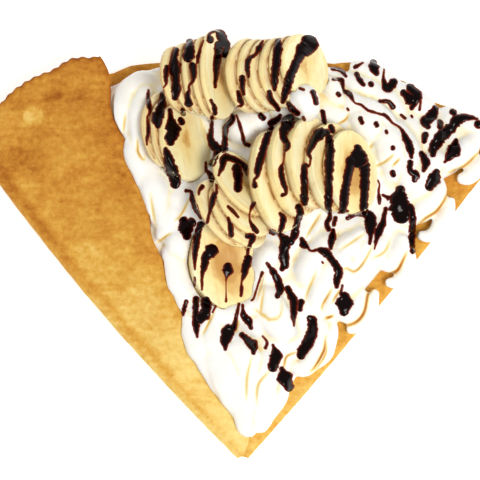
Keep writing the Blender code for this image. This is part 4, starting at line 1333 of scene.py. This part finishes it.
# %% Where the sauce went
SAUCE_ON = {
    "right slices": """
        271.5,126.6,2.3 267.8,133,3.5 262,151.6,3.5 257.6,167.4,3.8 257,174.8,2.2 253.9,179.4,1.5
        254.8,185,3 / 289,117.4,2.5 287.6,122,6.5 284.2,128.5,5.2 283.2,137.8,3.5 286.3,142.4,3.2
        286.7,147,3 284.4,149.8,1 / 284.4,149.8,1 282.6,161.8,.8 280.7,166.4,2.5 280.7,174.8,3
        283.5,184,3 285.3,191.4,1.8 281.6,194.2,2.4 / 326,132,2 319.8,133,6.2 314.5,137.8,4.2
        310.3,145,3.7 307.5,151.6,2.8 309.6,158,1.2 / 309.6,158,1.2 308,164.6,1 303.4,165.5,3.3
        303,174.8,3.5 303.6,188.6,3.5 303,196,4.6 303.8,201.6,2.6 / 327.9,136.8,3.6 328.3,151.6,4.6
        327.4,174.8,3.8 327,202.5,4.2 329,211.8,2 328.8,216.4,3 326,221,2.4 327.9,227.5,2.5 /
        332.5,228.4,2 330.7,237.7,4.2 329.7,246,1.8 / 356.6,147,2 357,151.6,5.5 356.6,158,9 /
        350,160,5.5 349,165,4.5 346.5,175,4.2 344,187,4.2 342.5,198,4.6 341,209,3.2 / 362,160,5.5
        363,165,5.5 363.5,176,4.8 363,190,4.2 362.5,200,4 362.5,210,4.2 / 338,210.8,1.2 346.4,209.4,1.2
        / 346.4,216.4,2 355.6,212.7,2 367.7,212.7,5 369.5,219,6 369.5,226.6,5 369.5,234.9,2.2
        368.6,241.4,1.8 / 384,212,1.2 382.5,221,3 377,230,4 375,239.5,1.8 373.2,247,.8 / 335,216,2
        333,223,2 / 330,126,3 331.5,130,3 / 377,178.5,.8 378.8,183,1 377.8,189.6,1.2 378.8,197.9,2.5
        378.8,201.6,1.2
    """,
    "cream below the right slices": """
        279.8,211.8,1.5 282.6,216.4,3.4 280.7,225.6,3 278.9,231.2,1.8 281.6,234.9,3 284.5,243,5
        283.5,252,5 284.5,262,5 281.3,267,1.5 / 281.6,234.9,3 290,239.5,4.5 / 297.4,205.3,3
        299.2,209.9,3.8 296.4,221,3.2 294.6,230.3,3.6 291.8,237.7,3 / 301,236.7,1.5 302.9,242.3,4.2
        306.6,245,2 310.3,248.8,1.2 319.6,246.9,2.4 325,248.8,3 327.9,252.5,3.5 / 266.7,261,1.5
        274,271.3,3.5 279.9,286,4.5 277,293.3,2.5 / 287,286,3 293,297.7,4 293,311,3.5 293.3,322.6,.9 /
        300.4,299.2,3.5 299,306.5,2.5 / 318,247.9,2 323.8,250.8,4 331,258,3.5 337,268.4,4
        335.6,278.7,3.8 335.6,284.5,1.5 / 341.4,283,1.4 340,290.4,1.5 343,293,4 342.9,300.6,8 343,309,4
        / 321,259.6,1 322,261,1
    """,
    "cream towards the tip": """
        309.2,315.3,3 312,319.7,4.8 309.2,334.4,5 303.3,346,5.5 300.4,352,4.2 / 241.7,331.4,2.5
        252,341.7,5 253.5,349,1.8 / 262.3,332.9,.9 266.7,338.8,1.5 265.2,344.6,1.8 / 272.5,341.7,1
        275.5,352,6 272.5,363.7,4.5 / 281.3,365.2,2 284.3,374,7 288.7,384.2,4 / 196.5,296,3
        196.5,310.6,3.2 197,325,3.6 197.7,333.6,1 / 206.8,298.5,5 206.2,308,5 201.4,315.5,5.5 /
        186.8,298.5,2 184.4,308,2.5 183.8,312.4,1 / 216,303.3,1.2 212.9,309.4,1 / 239,301,1.5
        236.5,313,2 234,322.7,3 229.2,327.6,6.5 225.6,337.3,5 225.6,345.8,1.2 / 242.6,302,1.2
        243.8,313,3.4 248.6,317.9,4 251,325,1.6
    """,
    "lower slices": """
        201,222.9,4 197.9,234.4,3.2 195.8,250.2,3 195.3,260.7,1.8 195.6,267,1 / 195.3,275,1
        195.3,278.6,1.7 195.3,283,1 / 212,248,6.5 206.3,255.5,4.5 204.7,263.9,3.4 202.6,271,2
        202.6,281.8,1.5 202.6,287,1 / 227.9,264,3 227.9,268,5 226.3,277.6,.8 226.3,294.4,.8
        226.3,298.6,1.6 / 248.4,256.5,4 245.2,265,4 244.2,272.3,3 241.5,279.7,1 241.5,287,2.2
        241,293.3,1.2 / 262,270.2,1.8 257.9,281.8,1.2 253.6,295.5,1 251.5,297.6,1.4
    """,
    "middle slices": """
        219,174.5,1 222,166,3 224.2,157.6,4 229.4,156.6,3 238.9,160.8,3 245.2,166,3.5 247.3,173.4,1.2 /
        236.8,166,4.5 237.9,178.7,4.3 237.9,188,3.5 / 216.8,183.9,1.3 216.8,191.3,1.5 214.7,193.4,3
        212.6,201.8,3.2 209.5,213.4,1.6 207.9,220.7,1.6 / 203,185,2.4 200,189.2,1.8 199.5,193.4,.8 /
        228.4,205,1.5 232.6,209.2,2 237.9,215.5,1.5 / 228.4,216.5,1.5 230.5,223.9,3 231.6,233.4,2.4 /
        253.6,202.3,3 250.5,208,1.2 249.4,217.6,1 253.6,226,3.4 256.8,230.2,1.6 / 247.3,234.4,2.5
        252.6,235.5,3.5 248.4,246,1.8 247.3,253.4,1.6 / 270.6,229.6,2.6 273.4,231,2.6
    """,
    "cream at the left": """
        186.3,189.2,2 191.6,190.2,1.5 192.6,197.6,2.6 195.8,205,3 199,212.3,2.3 201,216.5,1 /
        184,218.6,3 186.3,226,7.5 187.4,234.4,3.5 / 188,222,4 192.6,220.7,4 / 205.8,160.8,1.2
        206.3,168,1.6 210.5,173.4,3 211.6,178.7,2.4
    """,
    "left slices": """
        148.4,88.2,1 148.4,93.9,2.2 149.8,104.4,2.8 150.8,111,1.8 147.9,115.9,.9 / 147.9,115.9,.9
        149.4,128.3,2.6 147.9,137.9,1.8 147.9,143.7,.8 / 162.8,92,3 162.8,99.6,3.6 160.8,109.2,5
        158,116.9,6 158.9,124.5,3 / 170.4,109.2,2.2 171.4,116.9,3 173.3,128.3,7.5 171.4,136,6
        171.4,141.7,1.5 / 181,118.5,3 182.4,121.4,3 / 166.6,148.4,2 168.5,154.2,4.4 170.4,163.8,5.5
        173.3,171.4,5.5 175.5,178,5.5 176,183,4
    """,
    "upper slices": """
        177,50.8,3 175.2,61.4,4 176,70.9,5.6 177,80.5,3.6 177,90,5 176,97.7,3 / 168,68,2.6 167,78.6,2.4
        167.5,84.3,1.5 165,88,.8 / 190.5,41.3,3 190,49.9,5.2 189,58.5,5 / 181.2,64.4,1.2 181.6,66,1.2 /
        193.4,66.1,3.4 194.3,72.8,3.4 194.3,80.5,2.2 190,86.2,1.3 190,91,1.6 188.6,94.9,3
        189.5,103.5,4.4 / 183.5,110,2.6 184.2,112.4,2.6 / 203.9,41.3,1 201,48.9,1.4 199,56.6,2.4
        197.7,63.3,1.4 / 210.6,40.3,4 209.6,34.6,1.5 215.4,30.7,2 221,34.6,5 224,44,5.6 225,53.7,3.4 /
        219.2,44,4 218.3,53.7,4 216.8,66,3.6 216.3,75.7,2.6 215.4,82.4,2.6 215.4,87.2,1.2 /
        211.6,100.6,1.6 214.4,106.3,2.6 215.4,113,2.6
    """,
    "cream between the rows": """
        212.5,116.9,2 211.6,126.4,2 210.6,136,3.4 213.5,142.7,4 218.3,146.5,3.5 225,147.5,3.5 /
        218.3,146.5,3 216.3,154.2,3 212.5,162.8,3.2 / 232.6,114,1.8 232.6,118.8,3.2 226.9,125.5,3
        225,135,2.6 225,143.7,3 / 236.4,114,1 239.3,122.6,1.8 242.2,132.2,1.8 244.6,141.7,2
        248.9,143.7,2 / 261,114.6,3.2 262.6,117,3.2 / 269.9,122,3 277,117.9,3.2 280,113.8,1.5 / 312,92,3
        314,98,2.4 315,103,2.6 / 288,104,2.6 292,109,3 297,113,2.8 / 322,110,2.8 323.4,116,2.2
        324,122,2.8 / 299,88.4,1.6 303,90,1.2 / 302.6,117,1.6 303.6,119.4,1.6
    """,
    "top slices": """
        262.8,40.3,1 258.7,48.5,3.2 255.6,54.6,1.6 248,60.7,3 247.4,68.9,3 248.5,77,1.5 / 242.3,78,3
        242.3,86.2,3 243.9,94.4,1.4 / 238.3,92.3,2 239.8,98.5,3.4 241.8,104.6,2 236.2,106.6,.9 /
        277.8,41,2.6 277.6,45.4,4.4 275.5,65.8,4 274,81,3.8 274,89.3,2 / 268.9,92.3,2.4 269.9,98.5,3
        274,103.6,2.6 278,108.7,2.4 / 309.2,41,5 308.4,44.3,8 305.6,47.4,8 299,55.6,4.6 293.4,67.9,4.4
        288.3,81,4.2 284.2,94.4,4 282,101.5,2
    """,
    "cream at the upper right": """
        363.5,60,1 355.4,64.7,2.4 / 374.2,58,3 374.2,64.7,5.6 376.9,71.4,2 / 356.8,71.4,2.4
        360.8,79.5,3.2 363.5,82.8,1.6 / 370.4,81.4,2.4 371.6,83,2.4 / 384.9,64.7,.8 383.6,76.8,2
        387.6,86,5 394.3,79.5,4 / 332.7,66,2 340.7,67.4,3 346,74,1.5 / 332.7,78,1.5 342,78,2.5
        343.4,87.5,1.8 350,92.9,3 354,100.9,1 360.8,103.6,1.5 367.5,108.9,1.6 378.2,112.3,1.2 /
        378.2,112.3,1.2 384.9,114.3,2.2 391.6,121,1.2 399.6,126.3,1.4 405,137,3.6 409,146.4,4.6
        410.4,155.8,1.6 / 337.4,92.2,2.2 338.8,93.8,2.2 / 347,107,1.3 348,108.4,1.3 / 359.5,117,2.6
        361.5,121.6,2 / 375,122.2,2.4 376.2,124,2.4 / 385.2,129.6,1.7 386,131.4,1.7 / 391.6,145.6,1.9
        391.8,147.6,1.9 / 392,170.6,2.6 392.6,173.4,2.6 / 379.6,99.6,1.8 387.6,99.6,2.5 393,104.9,3 /
        403.7,90.2,3 410.4,96.9,6 / 410.4,84.8,4 417,94.2,5 411.7,106.2,2 / 401,113,1.5 405,116.3,1.8 /
        411.4,113.8,1.4 412.2,115,1.4 / 419.7,107.6,1.6 421,96.9,1 / 435.8,106.2,3 431.8,114.3,6
        425,119.6,5 427.8,125,2 / 439.8,119.6,2.5 439.8,125,3.6 / 477.3,117,1.2 470.6,115.6,3
        458.6,117,5.5 450.5,126.3,5 439.8,135.7,6 433,146.4,5 431.8,153,2.5 / 452.6,109.6,3.2
        454,111,3.2 / 425,133,3.6 423.7,139.7,2.5 / 421,151.8,3 425,161,4.2 422.4,169.2,1.5 / 409,161,3
        409,169.2,3 414.4,173.2,4.4 413,178.6,2 / 435.8,170.5,3 433,177.2,6.5 427.8,185.3,3.5 /
        455.9,138.4,2 453.2,147.8,6.5 447.9,155.8,3.5 443.8,160.5,1 / 477.6,121.6,3.6 479.8,123,3.6 /
        399.6,187.9,4 398.3,197.3,8.5 399.6,207,10 401,214,6 / 404,208,4 409,205.4,4 411.7,218.7,3.2
        411.7,237.5,3.6 411.7,249.5,2.6 / 387.6,196,2.6 382,193.3,1.2 / 384.9,206.7,2 382,218.7,2.4
        378.2,229.5,4.4 374.2,240.2,1.6
    """,
}


strokes = [stroke for rows in SAUCE_ON.values() for stroke in read_strokes(rows)]
print(len(strokes), "strokes of sauce")

# %% [markdown]
# A stroke becomes a closed ribbon that hangs above the food, seen along the camera's
# line. It stores how far each point should stand off the food: a domed top, and an
# underside that sinks in a little. It also stores how far it may fall, so that it hangs
# over the side of a slice for a few millimetres and not all the way down. A Geometry
# Nodes tree then drops it onto what lies below.

# %% Ribbons of sauce
RIBBON_STEP = 0.55
RIBBON_TOP = 8
RIBBON_FLOOR = 4
SAUCE_HEIGHT = 1.35
THIN_HEIGHT = 0.28
HEIGHT_GAIN = 0.36
EDGE_SINK = 0.12
SAUCE_SINK = 0.45
THIN_EDGE = 1.3
END_ANGLES = (25, 50, 70, 86)
DROP_FROM = 70.0
LOWEST_SAUCE = 7.0
OVERHANG = 3.5
NECK = 0.22
SPREAD = 1.16
WAVE_SHARE = 0.22
NICK_SHARE = 0.26


def necked(stroke, i):
    """The width at a place, held back towards its narrower neighbour."""
    beside = [stroke[k].z for k in (i - 1, i + 1) if 0 <= k < len(stroke)]
    return mix(stroke[i].z, min(stroke[i].z, *beside), NECK)


def round_pools(stroke, line):
    """Makes the sauce as round as a drop at each place, with a narrower neck between."""
    for station in line:
        widest = station.z
        for spot in stroke:
            away = (station.xy - spot.xy).length
            if away < spot.z:
                widest = max(widest, math.sqrt(spot.z ** 2 - away ** 2))
        station.z = widest
    widths = [station.z for station in line]
    for i, station in enumerate(line):
        around = widths[max(0, i - 2):i + 3]
        station.z = sum(around) / len(around)


def ragged(station, number, edge):
    """How much wider or narrower an edge is here: slow waves with small nicks on them."""
    waves = noise.noise(Vector((station.x * 0.16, station.y * 0.16, number * 3.1 + edge)))
    nicks = noise.noise(Vector((station.x * 0.42, station.y * 0.42, number * 1.7 - edge)))
    return 1.0 + WAVE_SHARE * waves + NICK_SHARE * nicks


def fall(station, surface):
    """How far sauce falls at a place, or None where it would miss the cream and the slices."""
    start = place(from_picture(station.x, station.y) + TO_CAMERA * DROP_FROM)
    spot, _, _, distance = surface.ray_cast(start, -TO_CAMERA)
    return distance if spot and spot.z > LOWEST_SAUCE * MM else None


def ribbon(bm, layers, stroke, number, surface):
    rise, thick, limit = layers
    line = list(smooth_line(stroke, RIBBON_STEP))
    necks = list(smooth_line([Vector((p.x, p.y, necked(stroke, i))) for i, p in enumerate(stroke)],
                             RIBBON_STEP))
    for station, neck in zip(line, necks):
        station.z = neck.z
    round_pools(stroke, line)
    # The stroke ends where the food ends
    falls = [fall(station, surface) for station in line]
    landed = [i for i, distance in enumerate(falls) if distance]
    if len(landed) < 2:
        return
    line = line[landed[0]:landed[-1] + 1]
    falls = falls[landed[0]:landed[-1] + 1]
    for i, distance in enumerate(falls):
        falls[i] = distance or falls[i - 1]
    lowest = [max(falls[max(0, i - 2):i + 3]) + OVERHANG * MM for i in range(len(falls))]
    first = (line[0] - line[1]).xy.normalized()
    last = (line[-1] - line[-2]).xy.normalized()
    caps = []
    # Round ends: a few more stations that narrow like a half circle
    for out, end in ((first, line[0]), (last, line[-1])):
        half = max(0.8, end.z)
        caps.append([Vector((*(end.xy + out * half * math.sin(a)), half * math.cos(a)))
                     for a in map(math.radians, END_ANGLES)])
    line = caps[0][::-1] + line + caps[1]
    lowest = [lowest[0]] * len(caps[0]) + lowest + [lowest[-1]] * len(caps[1])
    rows = []
    for i, station in enumerate(line):
        ahead = line[min(len(line) - 1, i + 1)].xy - line[max(0, i - 1)].xy
        side = Vector((ahead.y, -ahead.x)).normalized()
        half = max(0.12, station.z * SPREAD)
        height = min(SAUCE_HEIGHT, THIN_HEIGHT + HEIGHT_GAIN * half * PIXEL)
        wobble = [ragged(station, number, edge) for edge in (0.0, 40.0)]
        ring = []
        for j in range(RIBBON_TOP + 1):
            u = 2 * j / RIBBON_TOP - 1
            u = math.copysign(1 - (1 - abs(u)) ** 1.5, u)
            ring.append((u, height * math.sqrt(max(0.0, 1 - u * u)) - EDGE_SINK))
        for j in range(1, RIBBON_FLOOR):
            ring.append((1 - 2 * j / RIBBON_FLOOR, -SAUCE_SINK))
        row = []
        for u, off in ring:
            spot = station.xy + side * u * half * wobble[u > 0]
            ground = from_picture(spot.x, spot.y)
            v = bm.verts.new(ground + TO_CAMERA * DROP_FROM)
            v[rise] = off * MM
            v[limit] = lowest[i]
            v[thick] = smooth((1 - abs(u)) * half * PIXEL / THIN_EDGE)
            row.append(v)
        rows.append(row)
    skin_rows(bm, rows)


def make_sauce(food):
    bm = bmesh.new()
    layers = [bm.verts.layers.float.new(name) for name in ("rise", "thick", "limit")]
    surface = BVHTree.FromObject(food, bpy.context.evaluated_depsgraph_get())
    for number, stroke in enumerate(strokes):
        ribbon(bm, layers, stroke, number, surface)
    return new_piece("sauce", bm, SAUCE_FINISH)


# %% Drop the sauce onto the food
def drop_tree():
    build, start, sockets = group_tree("dropped sauce", (
        ("Food", "Object"), ("Slump", "Int"), ("Soften", "Int")))
    food = build.add("GeometryNodeObjectInfo", {"Object": start.outputs["Food"]})
    where = build.add("GeometryNodeInputPosition").outputs[0]
    away = tuple(-TO_CAMERA)
    ray = build.add("GeometryNodeRaycast", {"Target Geometry": food.outputs["Geometry"],
                                           "Source Position": where, "Ray Direction": away,
                                           "Ray Length": 0.2}, data_type="FLOAT")
    seen = build.math("MINIMUM", ray.outputs["Hit Distance"], build.named("limit"))
    # Thick sauce bridges a narrow gap, and never sinks through an edge
    bridged = build.math("MINIMUM", build.blur(seen, start.outputs["Slump"]), seen)
    landed = build.math("MINIMUM", build.blur(bridged, start.outputs["Soften"]), seen)
    fallen = build.vector("SCALE", away, scale=build.math("SUBTRACT", landed, build.named("rise")))
    moved = build.add("GeometryNodeSetPosition", {0: start.outputs[0], "Offset": fallen})
    end_tree(build, moved.outputs[0], SAUCE_FINISH)
    return build, sockets


def food_below():
    """One mesh of everything that the sauce can land on."""
    food = bpy.data.objects.new("food", bpy.data.meshes.new("food"))
    bpy.context.scene.collection.objects.link(food)
    bm = bmesh.new()
    for piece in (crepe_sheet, cream, *slice_pieces):
        bm.from_mesh(piece.data)
    bm.to_mesh(food.data)
    bm.free()
    return food


food = food_below()
sauce = make_sauce(food)
dropper, dropper_sockets = drop_tree()
apply_tree(sauce, dropper, dropper_sockets, {"Food": food, "Slump": 3, "Soften": 2})
bpy.data.objects.remove(food)
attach(sauce, "root")
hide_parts("whipped_cream")
print("sauce", triangles(sauce), "triangles")
